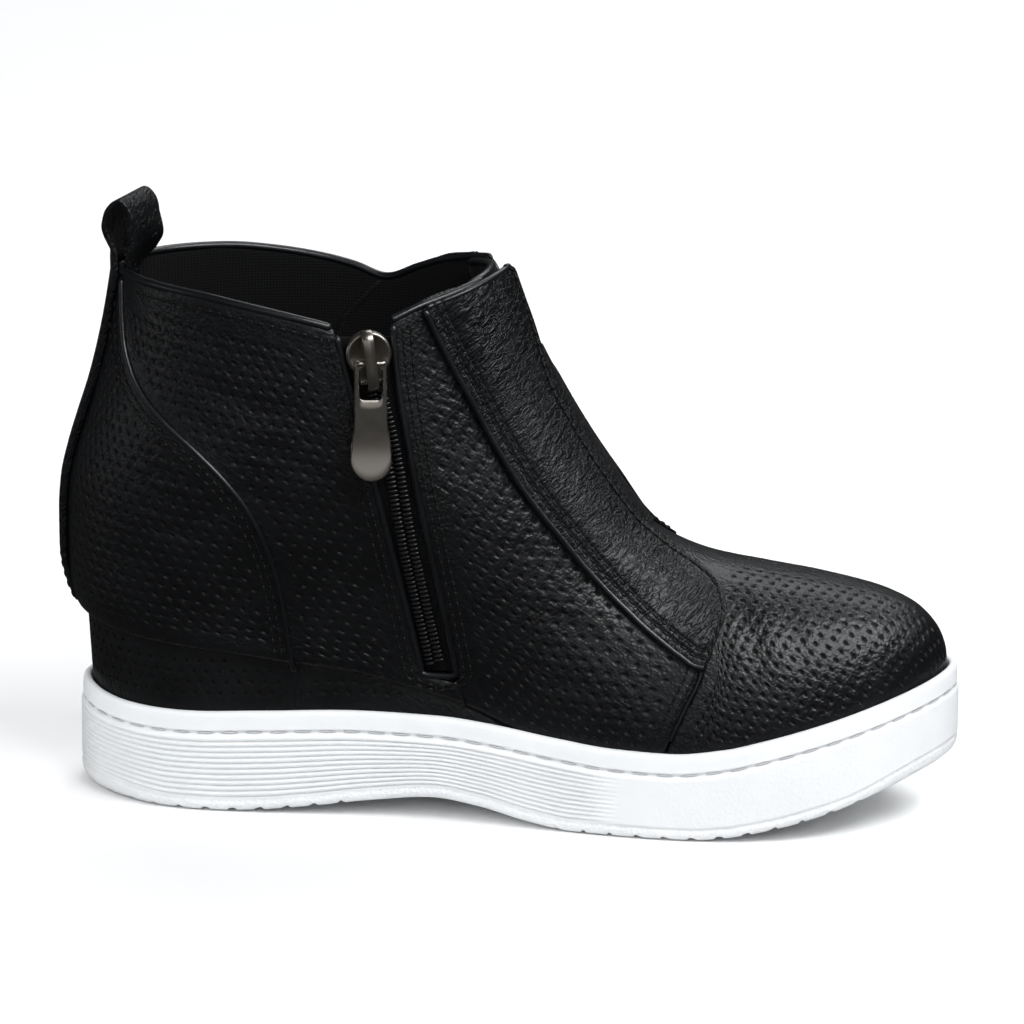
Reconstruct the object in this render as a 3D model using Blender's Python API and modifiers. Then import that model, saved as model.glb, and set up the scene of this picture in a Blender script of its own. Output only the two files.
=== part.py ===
"""Wedge sneaker: a left ankle shoe with a side zip, front flaps and a hidden wedge on a white cup sole.

Lengths below are in millimetres: +X to the toe, -Y to the inner (medial) side, +Z up, floor at z = 0.
"""

import math

import bmesh
import bpy
import numpy as np
from mathutils import Matrix, Vector

for old in list(bpy.data.objects):
    bpy.data.objects.remove(old, do_unlink=True)

MM = 0.001
GAP = 0.3

# Sole: plan outline at mid height, heel tip first, along the inner side to the toe and back.
OUTLINE = [  # x, y
    (-133.5, 0.0),
    (-131.0, -11.0),
    (-125.0, -20.5),
    (-112.0, -29.8),
    (-95.0, -34.0),
    (-70.0, -34.6),
    (-40.0, -34.4),
    (-15.0, -36.0),
    (10.0, -40.0),
    (35.0, -44.5),
    (55.0, -46.0),
    (78.0, -44.6),
    (97.0, -40.0),
    (112.0, -32.5),
    (123.5, -22.5),
    (130.8, -12.0),
    (133.5, -2.5),
    (131.2, 7.5),
    (125.0, 18.0),
    (115.0, 28.5),
    (101.0, 38.0),
    (82.0, 45.5),
    (58.0, 50.0),
    (30.0, 51.0),
    (5.0, 48.0),
    (-20.0, 43.5),
    (-45.0, 40.0),
    (-70.0, 37.5),
    (-95.0, 35.0),
    (-112.0, 30.2),
    (-125.0, 20.5),
    (-131.0, 11.0),
]
SOLE_HALF = 133.5
SOLE_BOTTOM = [  # x, z: flat heel, arch, flat forefoot, toe spring
    (-134, 0.0),
    (-88, 0.0),
    (-75, 0.6),
    (-60, 2.2),
    (-40, 5.0),
    (-22, 6.8),
    (-8, 5.0),
    (8, 1.5),
    (20, 0.0),
    (56, 0.0),
    (66, 0.8),
    (80, 3.4),
    (95, 7.2),
    (109, 11.4),
    (120, 14.6),
    (134, 18.0),
]
SOLE_TOP = [  # x, z of the rim
    (-134, 33.0),
    (-118, 31.0),
    (-100, 30.5),
    (-75, 31.5),
    (-45, 32.7),
    (-20, 32.3),
    (-5, 31.0),
    (15, 28.4),
    (32, 26.8),
    (50, 26.4),
    (66, 28.2),
    (78, 31.0),
    (97, 36.0),
    (115, 41.0),
    (128, 44.4),
    (134, 46.0),
]
SOLE_STATIONS = 30
RIM_WIDTH = 3.2
CUP_DEPTH = 7.0
BEAD_HEIGHT = 5.6
STITCH_GROOVE = 1.6
RIB_COUNT = 11
RIB_DEPTH = 0.6
RIB_END = 36.0
BAND_HEIGHT = 4.4
CORNER_SIDE = 2.2
CORNER_END = 5.5
TREAD_CUTS = [-116.0, -107.0, -98.0, 24.0, 33.0, 42.0, 51.0]
TREAD_WIDTH = 2.0
TREAD_DEPTH = 1.6

# Wedge: height of its top edge, which the upper stands on.
WEDGE_TOP = [  # x, z
    (-140, 56.6),
    (-132, 55.0),
    (-124, 53.3),
    (-112, 51.8),
    (-93, 50.0),
    (-76, 48.2),
    (-65, 46.6),
    (-45, 44.0),
    (-32, 40.5),
    (-22, 37.8),
    (-12, 34.8),
    (-3, 31.0),
    (6, 26.3),
    (14, 21.3),
    (140, 0.0),
]
WEDGE_FRONT = 8.0
WEDGE_STATIONS = 18
WEDGE_INSET = 0.2
INSOLE_THICKNESS = 3.0
INSOLE_INSET = 4.2

# Upper: side view curves.
HEEL_BACK = [  # z, x
    (48, -128.9),
    (54, -132.0),
    (58, -134.4),
    (64, -136.3),
    (74, -137.2),
    (85, -137.3),
    (95, -136.6),
    (105, -134.4),
    (115, -131.4),
    (125, -128.2),
    (135, -125.6),
    (147, -123.1),
    (160, -121.0),
    (170, -119.7),
]
HEEL_ROUND = [  # z, depth of the rounded back
    (50, 37),
    (57, 38),
    (75, 45),
    (100, 55),
    (125, 61),
    (165, 63),
]
RIM = [  # x, z of the collar edge
    (-125, 160.6),
    (-117, 160.4),
    (-105, 160.0),
    (-92, 159.3),
    (-80, 157.8),
    (-68, 155.8),
    (-55, 153.0),
    (-45, 151.4),
    (-34, 154.4),
    (-26, 157.8),
    (-13, 161.4),
    (-4, 163.8),
    (5, 165.0),
]
RIDGE = [  # x, z of the front centre line, collar to toe
    (-6.0, 165.2),
    (0.0, 148.6),
    (5.0, 137.4),
    (15.0, 119.0),
    (25.0, 103.2),
    (35.0, 89.8),
    (40.5, 84.6),
    (46.5, 80.8),
    (57.0, 76.6),
    (72.0, 73.7),
    (91.0, 71.1),
    (110.6, 67.2),
    (120.4, 63.0),
    (125.3, 58.7),
    (128.3, 54.3),
    (129.7, 49.5),
    (130.0, 40.0),
]
RIDGE_ROUND = [  # x of the ridge, depth of its rounding
    (-6, 60),
    (15, 60),
    (36, 58),
    (48, 54),
    (62, 52),
]
QUARTER_INSET = 1.2
CUP_FROM, CUP_FULL = -70.0, -6.0
SHAFT_HALF = [  # x, half width of the collar
    (-140, 39.5),
    (-50, 40.6),
    (0, 40.6),
    (30, 42.0),
    (50, 43.0),
]
SHAFT_RISE = 70.0
CENTRE_Y = [  # x, sideways lean of the front centre line
    (-140, 0.0),
    (0, 0.0),
    (60, -0.5),
    (100, -2.0),
    (135, -2.5),
]
DOME_POWER = 2.2
WALL = 2.2
PIPING = [  # z, x of the counter's front edge
    (44, -63.6),
    (50, -65.0),
    (60, -66.3),
    (72.7, -68.4),
    (84.7, -72.0),
    (94.2, -76.4),
    (104.3, -83.8),
    (112.9, -92.9),
    (119.7, -102.0),
    (126.3, -109.4),
    (132.5, -113.6),
    (141.5, -116.6),
    (162, -118.4),
]
ZIP_REAR = [(38.0, -24.2), (46.2, -26.0), (105.7, -39.4), (154.0, -51.6)]  # z, x
ZIP_FRONT = [(35.0, -13.2), (68.0, -19.5), (112.3, -28.6), (135.1, -32.7), (155.0, -34.6)]  # z, x
ZIP_FOOT_SHARE = 0.072
CORNER_FOOT = 16.0
THROAT_FOOT = 50.0
THROAT_END = 34.5
SLOT_HALF = 15.0
ROWS_LOW = 9
ROWS_ALL = 12
ROW_STEP = math.radians(7.5)
COUNTER_STEP = 0.8
COUNTER_SHARES = [0.0, 0.15, 0.3, 0.45, 0.6, 0.74, 0.88, 0.985]
RIBS_HEEL = len(COUNTER_SHARES)
RIBS_QUARTER = 4
RIBS_ZIP = 2
RIBS_FRONT = 4
RIBS_INSTEP = 6
VAMP_RIBS = [  # foot x, ridge x
    (53.5, 40.0),
    (58.0, 46.5),
    (65.0, 57.0),
    (74.0, 69.0),
    (83.0, 80.0),
    (92.0, 90.5),
    (101.0, 100.5),
    (109.0, 109.0),
    (116.0, 116.0),
    (121.5, 121.5),
    (126.0, 126.0),
    (128.8, 128.8),
]

# Front pieces, laid over the ridge: bands along it and half widths across it.
TONGUE_TOP, TONGUE_END = -2.6, 50.0
TONGUE_HALF = 21.0
TONGUE_OUT, TONGUE_THICK = -2.95, 2.0
BRIDGE_TOP, BRIDGE_END = 5.0, 40.0
BRIDGE_HALF = 19.5
FRONT_SHIFT = 2.5
OUTER_SWEEP = 6.0
BRIDGE_OUT, BRIDGE_THICK = 1.9, 0.9
FLAP_BANDS = [  # ridge x, front half width, depth of the rear edge below the ridge
    (-5.6, 12.0, 21.2),
    (-3.0, 12.0, 20.4),
    (1.8, 12.0, 19.2),
    (6.0, 12.0, 18.6),
    (12.0, 12.0, 18.5),
    (18.0, 12.0, 18.3),
    (24.0, 12.0, 17.6),
    (30.0, 12.0, 16.8),
    (36.0, 12.0, 16.6),
    (43.0, 12.0, 17.4),
    (49.0, 12.0, 19.2),
    (54.0, 12.2, 20.9),
    (58.0, 13.0, 22.6),
    (61.5, 16.0, 24.0),
    (63.6, 19.5, 24.0),
    (65.0, 22.5, 17.0),
    (66.0, 24.5, 11.5),
]
FLAP_THICK = 1.6
FLAP_OUT_REAR = 2.2
FLAP_OUT_FRONT = 3.95
FLAP_COLUMNS = 8
STRAP_HALF = 10.4
STRAP_THICK = 1.0
STRAP_FOOT = 62.0
LOOP_TWIST = 0.25
LOOP = [  # x, z of the pull loop's middle line at its centre, outside to inside
    (-122.9, 163.4),
    (-122.6, 168.2),
    (-121.7, 174.0),
    (-120.4, 178.6),
    (-117.4, 181.1),
    (-114.8, 178.8),
    (-113.8, 174.0),
    (-115.4, 168.6),
    (-118.2, 163.4),
]

# Zip, on the inner side.
TAPE_REACH = 5.0
TAPE_OUT, TAPE_THICK = -2.9, 0.8
TAPE_FOOT = 45.0
CHAIN_HALF = 3.2
CHAIN_OUT, CHAIN_THICK = -0.6, 1.95
CHAIN = [(47.9, -21.9), (84.4, -29.2), (112.3, -33.6), (144.5, -41.4)]  # z, x
CHAIN_FOOT, CHAIN_TOP = 51.5, 132.7
SLIDER_Z = 142.4
SLIDER_LEAN = math.radians(7.0)
SLIDER_RADIUS = 6.8
SLIDER_FOOT = 9.0
SLIDER_LOW, SLIDER_TOP = -2.4, 1.6
BAIL_HALF = 1.7
BAIL_THICK = 1.2
BAIL_REACH = (-7.0, 6.0)
BAIL_HEIGHT = 6.0
AXIS_DOWN = 0.6
AXIS_OUT = 3.15
BAR_RADIUS = 1.05
TAB_LENGTH = 34.7
TAB_NECK = 4.9
TAB_ROUND = 6.1
TAB_THICK = 1.5
WINDOW_HALF = 3.3
WINDOW_LENGTH = 10.6


def curve(table):
    """A smooth function through (position, value) rows that doesn't overshoot them."""
    x, y = np.array(table, float).T
    h = np.diff(x)
    d = np.diff(y) / h
    slope = np.zeros_like(y)
    slope[0], slope[-1] = d[0], d[-1]
    for i in range(1, len(x) - 1):
        if d[i - 1] * d[i] > 0:
            a, b = 2 * h[i] + h[i - 1], h[i] + 2 * h[i - 1]
            slope[i] = (a + b) / (a / d[i - 1] + b / d[i])

    def at(v):
        v = np.clip(v, x[0], x[-1])
        i = np.clip(np.searchsorted(x, v, side="right") - 1, 0, len(x) - 2)
        t = (v - x[i]) / h[i]
        rise = (3 - 2 * t) * t * t
        start = h[i] * slope[i] * t * (1 - t) ** 2
        end = h[i] * slope[i + 1] * t * t * (t - 1)
        return y[i] * (1 - rise) + y[i + 1] * rise + start + end

    return at


def spline(points, count, closed=False):
    """Points along a smooth curve through the given ones."""
    p = np.array(points, float)
    if closed:
        p = np.vstack([p[-1:], p, p[:2]])
    knot = np.r_[0, np.cumsum(np.sqrt(np.linalg.norm(np.diff(p, axis=0), axis=1)))]
    slope = np.gradient(p, knot, axis=0)
    t = np.linspace(knot[1], knot[-2], count) if closed else np.linspace(knot[0], knot[-1], count)
    i = np.clip(np.searchsorted(knot, t, side="right") - 1, 0, len(p) - 2)
    h = (knot[i + 1] - knot[i])[:, None]
    s = (t - knot[i])[:, None] / h
    rise = (3 - 2 * s) * s * s
    ends = p[i] * (1 - rise) + p[i + 1] * rise
    return ends + h * (slope[i] * s * (1 - s) ** 2 + slope[i + 1] * s * s * (s - 1))


def smooth(t):
    t = np.clip(t, 0, 1)
    return t * t * (3 - 2 * t)


def swell(q, power):
    """Share of the full width at depth q below a rounded edge; 1 from q = 1 on."""
    return (1 - (1 - np.clip(q, 0, 1)) ** power) ** (1 / power)


def inset(ring, distance):
    """A closed plan curve moved inwards; it runs heel, inner side, toe, outer side."""
    along = np.roll(ring, -1, axis=0) - np.roll(ring, 1, axis=0)
    along /= np.linalg.norm(along, axis=1, keepdims=True)
    return ring + np.stack([-along[:, 1], along[:, 0]], axis=1) * np.reshape(distance, (-1, 1))


def edges_of(ring):
    """The inner and outer edges of a closed plan curve, each from heel to toe."""
    heel, toe = int(np.argmin(ring[:, 0])), int(np.argmax(ring[:, 0]))
    turned = np.roll(ring, -heel, axis=0)
    toe = (toe - heel) % len(ring)
    return turned[: toe + 1], np.vstack([turned[toe:], turned[:1]])[::-1]


def edge_y(edges, x, side):
    edge = edges[0] if side < 0 else edges[1]
    return np.interp(x, edge[:, 0], edge[:, 1])


outline = spline(OUTLINE, 561, closed=True)[:-1]
outline_edges = edges_of(outline)
cup_edges = edges_of(inset(outline, RIM_WIDTH + GAP))
quarter_edges = edges_of(inset(outline, QUARTER_INSET))


sole_bottom = curve(SOLE_BOTTOM)
sole_top = curve(SOLE_TOP)
wedge_top = curve(WEDGE_TOP)
heel_back = curve(HEEL_BACK)
heel_round = curve(HEEL_ROUND)
rim = curve(RIM)
ridge = spline(RIDGE, 500)
ridge_round = curve(RIDGE_ROUND)
shaft_half = curve(SHAFT_HALF)
centre_y = curve(CENTRE_Y)


def cup_floor(x):
    return sole_top(x) - CUP_DEPTH


def feather(x):
    """Height of the upper's lower edge."""
    return np.maximum(wedge_top(x), cup_floor(x)) + GAP


def ridge_z(x):
    return np.interp(x, ridge[:, 0], ridge[:, 1])


def ridge_depth(x, z):
    """Distance below the front centre line, as a share of its rounding."""
    points = np.stack([np.ravel(x), np.ravel(z)], axis=1)
    front = ridge[ridge[:, 0] < 80]
    away = np.linalg.norm(points[:, None, :] - front[None], axis=2)
    near = away.argmin(axis=1)
    share = away[np.arange(len(near)), near] / ridge_round(front[near, 0])
    return share.reshape(np.shape(x))


def foot_half(x, side):
    """Half width of the upper at its lower edge, from the centre line."""
    along = np.maximum(x, -95.0)
    share = smooth((along - CUP_FROM) / (CUP_FULL - CUP_FROM))
    edge = edge_y(quarter_edges, along, side) * (1 - share) + edge_y(cup_edges, along, side) * share
    return np.maximum(np.abs(edge - centre_y(x)), 0.0)


def half_width(x, z, side):
    """Half width of the upper's outer surface at a point of its side view."""
    x, z = np.asarray(x, float), np.asarray(z, float)
    base = np.maximum(feather(x), sole_top(x))
    foot = foot_half(x, side)
    rise = smooth((z - base) / SHAFT_RISE) * (1 - smooth((x - 20) / 35))
    wide = foot + (shaft_half(x) - foot) * rise
    low = feather(x)
    high = ridge_z(x)
    drop = np.clip((high - z) / np.maximum(high - low, 1e-6), 0, 1)
    blend = smooth((x - 42) / 34)
    front = swell(ridge_depth(x, z), 2.0) * (1 - blend) + swell(drop, DOME_POWER) * blend
    back = swell((x - heel_back(z)) / heel_round(z), 2.0)
    return wide * front * back


def surface(x, z, side):
    """A point of the upper's outer surface."""
    y = centre_y(x) + side * half_width(x, z, side)
    return np.stack(np.broadcast_arrays(x, y, z), axis=-1)


def outward(x, z, side, step=0.2):
    """Unit normal of the upper's outer surface, away from its centre line."""
    dx = (half_width(x + step, z, side) - half_width(x - step, z, side)) / (2 * step)
    dz = (half_width(x, z + step, side) - half_width(x, z - step, side)) / (2 * step)
    lean = side * (centre_y(x + step) - centre_y(x - step)) / (2 * step)
    n = np.stack([-dx - lean, np.full(np.shape(x), float(side)), -dz], axis=-1)
    return n / np.linalg.norm(n, axis=-1, keepdims=True)


def arc_depth(arc, z):
    """Distance forward of the heel's back at a distance along the collar from it."""
    r = heel_round(z)
    bent = np.minimum(arc, r * math.pi / 2)
    return r * (1 - np.cos(bent / r)) + (arc - bent)


def arc_of(x, z):
    r = heel_round(z)
    d = np.maximum(x - heel_back(z), 0)
    return np.where(d < r, r * np.arccos(1 - np.minimum(d, r) / r), r * math.pi / 2 + d - r)


def ridge_at(x):
    """Point and inward direction of the front centre line, in the side view."""
    i = int(np.clip(np.searchsorted(ridge[:, 0], x), 1, len(ridge) - 2))
    along = ridge[i + 1] - ridge[i - 1]
    along = along / np.linalg.norm(along)
    return np.array([x, ridge_z(x)]), np.array([along[1], -along[0]])


def front_depth(x, half):
    """Depth below the front centre line at which the surface reaches this half width."""
    r = float(ridge_round(x))
    full = float(shaft_half(x))
    return r * (1 - math.sqrt(max(0.0, 1 - (half / full) ** 2)))


def upper_ribs():
    """Side view points (rib, row) of the upper; ribs after the throat carry extra rows up to the ridge."""
    even = np.r_[0, np.linspace(ZIP_FOOT_SHARE, 1, ROWS_LOW)]
    turn = np.sin(ROW_STEP * np.arange(ROWS_ALL + 1)) ** (2 / DOME_POWER)
    tight = turn[: ROWS_LOW + 1] / turn[ROWS_LOW]

    def guide(table):
        z_of_row = even * (rim(-60.0) - 44.0) + 44.0
        at = curve(table)
        for _ in range(4):
            x = at(z_of_row)
            z_of_row = feather(x[0]) + (rim(x[-1]) - feather(x[0])) * even
        return arc_of(at(z_of_row), z_of_row)

    def slot_point(x):
        point, inward = ridge_at(x)
        return point + inward * front_depth(x, SLOT_HALF)

    corner = slot_point(RIDGE[0][0] + 0.4)
    foot = np.array([CORNER_FOOT, feather(CORNER_FOOT)])
    line = foot + (corner - foot) * tight[:, None]
    arcs = [np.zeros(ROWS_LOW + 1), guide(PIPING), guide(ZIP_REAR), guide(ZIP_FRONT)]
    arcs.append(arc_of(line[:, 0], line[:, 1]))
    ribs = []
    for k, count in enumerate((RIBS_HEEL, RIBS_QUARTER, RIBS_ZIP, RIBS_FRONT)):
        for step in range(count):
            t = COUNTER_SHARES[step] if k == 0 else step / count
            arc = arcs[k] * (1 - t) + arcs[k + 1] * t
            share = even * (1 - t) + tight * t if k == 3 else even
            z = 45 + 110 * share
            for _ in range(6):
                x = heel_back(z) + arc_depth(arc, z)
                top = corner[1] if k == 3 and t > 0.9 else rim(x[-1])
                z = feather(x[0]) + (top - feather(x[0])) * share
            ribs.append(np.stack([heel_back(z) + arc_depth(arc, z), z], axis=1))
    for step in range(RIBS_INSTEP):
        t = step / RIBS_INSTEP
        bottom = CORNER_FOOT + (THROAT_FOOT - CORNER_FOOT) * t
        top = corner if step == 0 else slot_point(RIDGE[0][0] + (THROAT_END - RIDGE[0][0]) * t)
        foot = np.array([bottom, feather(bottom)])
        ribs.append(foot + (top - foot) * tight[:, None])
    for bottom, high in [(THROAT_FOOT, THROAT_END)] + VAMP_RIBS:
        foot = np.array([bottom, feather(bottom)])
        top = np.array([high, ridge_z(high)])
        ribs.append(foot + (top - foot) * turn[:, None])
    return ribs


INSIDE = np.array([-55.0, 0.0, 70.0])


class Patch:
    """A sheet of named corner points and the faces between them."""

    def __init__(self):
        self.points, self.index, self.faces = [], {}, []

    def corner(self, key, point):
        if key not in self.index:
            self.index[key] = len(self.points)
            self.points.append(tuple(float(c) for c in point))
        return self.index[key]

    def face(self, keys, flip=False):
        ring = []
        for key in keys:
            if self.index[key] not in ring:
                ring.append(self.index[key])
        if len(ring) > 2:
            self.faces.append(ring[::-1] if flip else ring)


def grid_patch(rows):
    """A patch from an array of points (row, column, xyz), facing away from the inside of the upper."""
    patch = Patch()
    high, wide = rows.shape[:2]
    facing = np.cross(np.diff(rows[:, :-1], axis=0), np.diff(rows[:-1], axis=1))
    flip = bool(np.sum(facing * (rows[:-1, :-1] - INSIDE)) < 0)
    for i in range(high):
        for j in range(wide):
            patch.corner((i, j), rows[i, j])
    for i in range(high - 1):
        for j in range(wide - 1):
            patch.face([(i, j), (i + 1, j), (i + 1, j + 1), (i, j + 1)], flip)
    return patch


def normals_of(rows):
    """Unit normals of an array of points (row, column, xyz)."""
    across = np.gradient(rows, axis=1)
    along = np.gradient(rows, axis=0)
    n = np.cross(along, across)
    return n / np.linalg.norm(n, axis=2, keepdims=True)


def pushed(rows, distance):
    """The grid moved outwards, away from the inside of the upper."""
    n = normals_of(rows)
    if np.sum((rows - INSIDE) * n) < 0:
        n = -n
    return rows + n * np.broadcast_to(distance, rows.shape[:2])[..., None]


def heel_out(rib, side):
    """Level outward directions round the heel."""
    turn = np.minimum(arc_of(rib[:, 0], rib[:, 1]) / heel_round(rib[:, 1]), math.pi / 2)
    return np.stack([-np.cos(turn), side * np.sin(turn), np.zeros(len(turn))], axis=1)


def upper_patch():
    ribs = upper_ribs()
    patch = Patch()
    throat = RIBS_HEEL + RIBS_QUARTER + RIBS_ZIP + RIBS_FRONT + RIBS_INSTEP
    zip_from = RIBS_HEEL + RIBS_QUARTER
    zip_to = zip_from + RIBS_ZIP
    last = len(ribs)
    tip_x = RIDGE[-1][0]
    tip = (tip_x, float(centre_y(tip_x)), float(feather(tip_x)))

    def key(side, rib, row):
        if rib == last:
            return "tip"
        if rib == 0:
            return ("heel", row)
        if row == ROWS_ALL:
            return ("ridge", rib)
        return (side, rib, row)

    patch.corner("tip", tip)
    for side in (-1, 1):
        for i, rib in enumerate(ribs):
            raised = COUNTER_STEP if i < RIBS_HEEL else 0.0
            points = surface(rib[:, 0], rib[:, 1], side) + raised * heel_out(rib, side)
            for j, point in enumerate(points):
                patch.corner(key(side, i, j), point)
        for i in range(last):
            rows = ROWS_ALL if i >= throat else ROWS_LOW
            for j in range(rows):
                if side < 0 and zip_from <= i < zip_to and j >= 1:
                    continue
                ring = [key(side, i, j), key(side, i + 1, j), key(side, i + 1, j + 1), key(side, i, j + 1)]
                patch.face(ring, flip=side > 0)
    return patch


def over_ridge(x_from, x_to, half, bands, columns, distance):
    """Points of a sheet laid across the front centre line at a distance from the surface."""
    rows = []
    for x in np.linspace(x_from, x_to, bands):
        point, inward = ridge_at(x)
        row = []
        for y in np.linspace(FRONT_SHIFT - half, FRONT_SHIFT + half, columns):
            spot = point + inward * front_depth(x, abs(y))
            side = -1 if y < 0 else 1
            row.append(surface(spot[0], spot[1], side))
        rows.append(row)
    return pushed(np.array(rows), distance)


def flap_rows(side):
    """Points of one flap: bands along the ridge, columns from its free front edge to its sewn rear edge."""
    rows, lift = [], []
    for x, front, depth in FLAP_BANDS:
        point, inward = ridge_at(x)
        front += side * FRONT_SHIFT * (1 - smooth((x - 50) / 10))
        if side > 0:
            front += OUTER_SWEEP * smooth((x - 40) / 12)
        start = front_depth(x, front)
        depth = max(depth, start + 1.5)
        r = float(ridge_round(x))
        turn_from = math.acos(1 - min(start / r, 1))
        turn_to = math.acos(1 - min(depth / r, 1))
        row = []
        for turn in np.linspace(turn_from, turn_to, FLAP_COLUMNS):
            spot = point + inward * r * (1 - math.cos(turn))
            row.append(surface(spot[0], spot[1], side))
        rows.append(row)
        share = 1 - smooth((x - 40) / 13)
        width = np.abs(np.array(row)[:, 1])
        up = 1 - smooth((width - 23.5) / 8.0)
        lift.append(FLAP_OUT_REAR + (FLAP_OUT_FRONT - FLAP_OUT_REAR) * up * share)
    rows = np.array(rows)
    out = outward(rows[..., 0], rows[..., 2], side)
    return rows + out * np.array(lift)[..., None]


def strap_rows():
    """Points of the heel strap: up the back of the heel, round the pull loop and into the collar."""
    across = np.linspace(-STRAP_HALF, STRAP_HALF, 7)
    rows = []

    def on_heel(z, distance):
        row = []
        for y in across:
            depth = np.linspace(0.0, 24.0, 97)
            reach = half_width(heel_back(z) + depth, np.full(97, z), -1 if y < 0 else 1)
            x = heel_back(z) + np.interp(abs(y), reach, depth)
            row.append(np.array([x, y, z]))
        row = np.array(row)
        turn = np.gradient(row[:, :2], axis=0)
        n = np.stack([-turn[:, 1], turn[:, 0]], axis=1)
        row[:, :2] += n / np.linalg.norm(n, axis=1, keepdims=True) * distance
        return row

    top = float(rim(-122.0))
    for z in np.linspace(STRAP_FOOT, top - 1.0, 13):
        rows.append(on_heel(z, COUNTER_STEP + GAP + 0.15 + STRAP_THICK / 2))
    bend = on_heel(top, 0.0)[:, 0] - heel_back(top)
    for t, (x, z) in zip(np.linspace(-1, 1, 17), spline(LOOP, 17)):
        follow = smooth((abs(t) - 0.45) / 0.5)
        shape = x + bend * follow + LOOP_TWIST * across * (1 - follow)
        rows.append(np.column_stack([shape, across, np.full(len(across), z)]))
    for z in (top - 1.0, top - 5.0, top - 9.0):
        rows.append(on_heel(z, COUNTER_STEP - WALL - GAP - 0.3 - STRAP_THICK / 2))
    return np.array(rows)


def zip_rows(low, high, left, right, bands, columns, distance):
    """Points of a strip on the inner side between two side view edges, given as functions of height."""
    rows = []
    for z in np.linspace(low, high, bands):
        xs = np.linspace(left(z), right(z), columns)
        rows.append(surface(xs, np.full(columns, z), -1))
    return pushed(np.array(rows), distance)


def sole_rings():
    """Rings of the cup sole from the cup floor over the rim, down the side and in under the edge."""
    turn = np.linspace(0, math.pi, SOLE_STATIONS + 1)
    xs = -SOLE_HALF * np.cos(turn)
    stations = [(xs[0], 0)] + [(x, -1) for x in xs[1:-1]] + [(xs[-1], 0)] + [(x, 1) for x in xs[-2:0:-1]]
    x = np.array([s[0] for s in stations])
    side = np.array([s[1] for s in stations])
    y = np.where(side < 0, edge_y(outline_edges, x, -1), edge_y(outline_edges, x, 1))
    plan = np.stack([x, y], axis=1)
    plan[0], plan[SOLE_STATIONS] = outline_edges[0][0], outline_edges[0][-1]
    x = plan[:, 0]
    along = np.roll(plan, -1, axis=0) - np.roll(plan, 1, axis=0)
    along /= np.linalg.norm(along, axis=1, keepdims=True)
    inward = np.stack([-along[:, 1], along[:, 0]], axis=1)
    low, high = sole_bottom(x), sole_top(x)
    fade = 1 - smooth((x - RIB_END + 14) / 14)
    end = smooth((np.abs(x) - 95) / 35)
    corner = CORNER_SIDE + (CORNER_END - CORNER_SIDE) * end
    rings = []

    def ring(depth, z=None):
        place = plan + inward * np.broadcast_to(depth, x.shape)[:, None]
        rings.append(np.column_stack([place, cup_floor(place[:, 0]) if z is None else z]))

    ring(RIM_WIDTH)
    ring(RIM_WIDTH - 0.1, high - 0.7)
    ring(RIM_WIDTH - 0.8, high)
    ring(2.0, high - 0.2)
    ring(1.0, high - 1.5)
    ring(0.6, high - BEAD_HEIGHT)
    ring(1.3, high - BEAD_HEIGHT - STITCH_GROOVE / 2)
    ring(0.4, high - BEAD_HEIGHT - STITCH_GROOVE)
    top = high - BEAD_HEIGHT - STITCH_GROOVE
    foot = low + BAND_HEIGHT + 0.8
    for k in range(RIB_COUNT):
        ring(0.05, top + (foot - top) * (k + 0.35) / RIB_COUNT)
        ring(0.05 + RIB_DEPTH * fade, top + (foot - top) * (k + 0.9) / RIB_COUNT)
    ring(0.1, low + BAND_HEIGHT)
    ring(0.2, low + corner * 0.95)
    ring(0.2 + corner * 0.3, low + corner * 0.3)
    ring(0.2 + corner, low)
    return rings


def ring_solid(rings, pairs):
    """A closed solid from rings of equal length, capped by strips across paired stations."""
    count = len(rings[0])
    points = np.vstack(rings)
    faces = []
    for k in range(len(rings) - 1):
        for i in range(count):
            j = (i + 1) % count
            faces.append([k * count + i, k * count + j, (k + 1) * count + j, (k + 1) * count + i])
    for k, flip in ((0, False), (len(rings) - 1, True)):
        for (a, b), (c, d) in zip(pairs[:-1], pairs[1:]):
            face = []
            for i in (a, b, d, c):
                if k * count + i not in face:
                    face.append(k * count + i)
            faces.append(face[::-1] if flip else face)
    return points, faces


def mirror_pairs(count):
    half = count // 2
    return [(i, (count - i) % count) for i in range(half + 1)]


def feather_ring():
    """Plan curve of the upper's lower edge, closed: heel, inner side, toe, outer side."""
    heel = -132.0
    for _ in range(20):
        heel = float(heel_back(feather(heel)))
    turn = np.linspace(0, math.pi, 161)
    xs = heel + (RIDGE[-1][0] - heel) * (1 - np.cos(turn)) / 2
    edges = []
    for side, order in ((-1, xs), (1, xs[-2:0:-1])):
        y = centre_y(order) + side * half_width(order, feather(order), side)
        edges.append(np.stack([order, y], axis=1))
    return np.vstack(edges)


def even_ring(edges, x_from, x_to, stations):
    """Plan points of a closed curve at paired stations, heel tip first."""
    xs = x_from + (x_to - x_from) * (1 - np.cos(np.linspace(0, math.pi, stations + 1))) / 2
    ring = [edges[0][0]]
    ring += [(x, edge_y(edges, x, -1)) for x in xs[1:-1]]
    ring += [edges[0][-1]]
    ring += [(x, edge_y(edges, x, 1)) for x in xs[-2:0:-1]]
    return np.array(ring)


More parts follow.
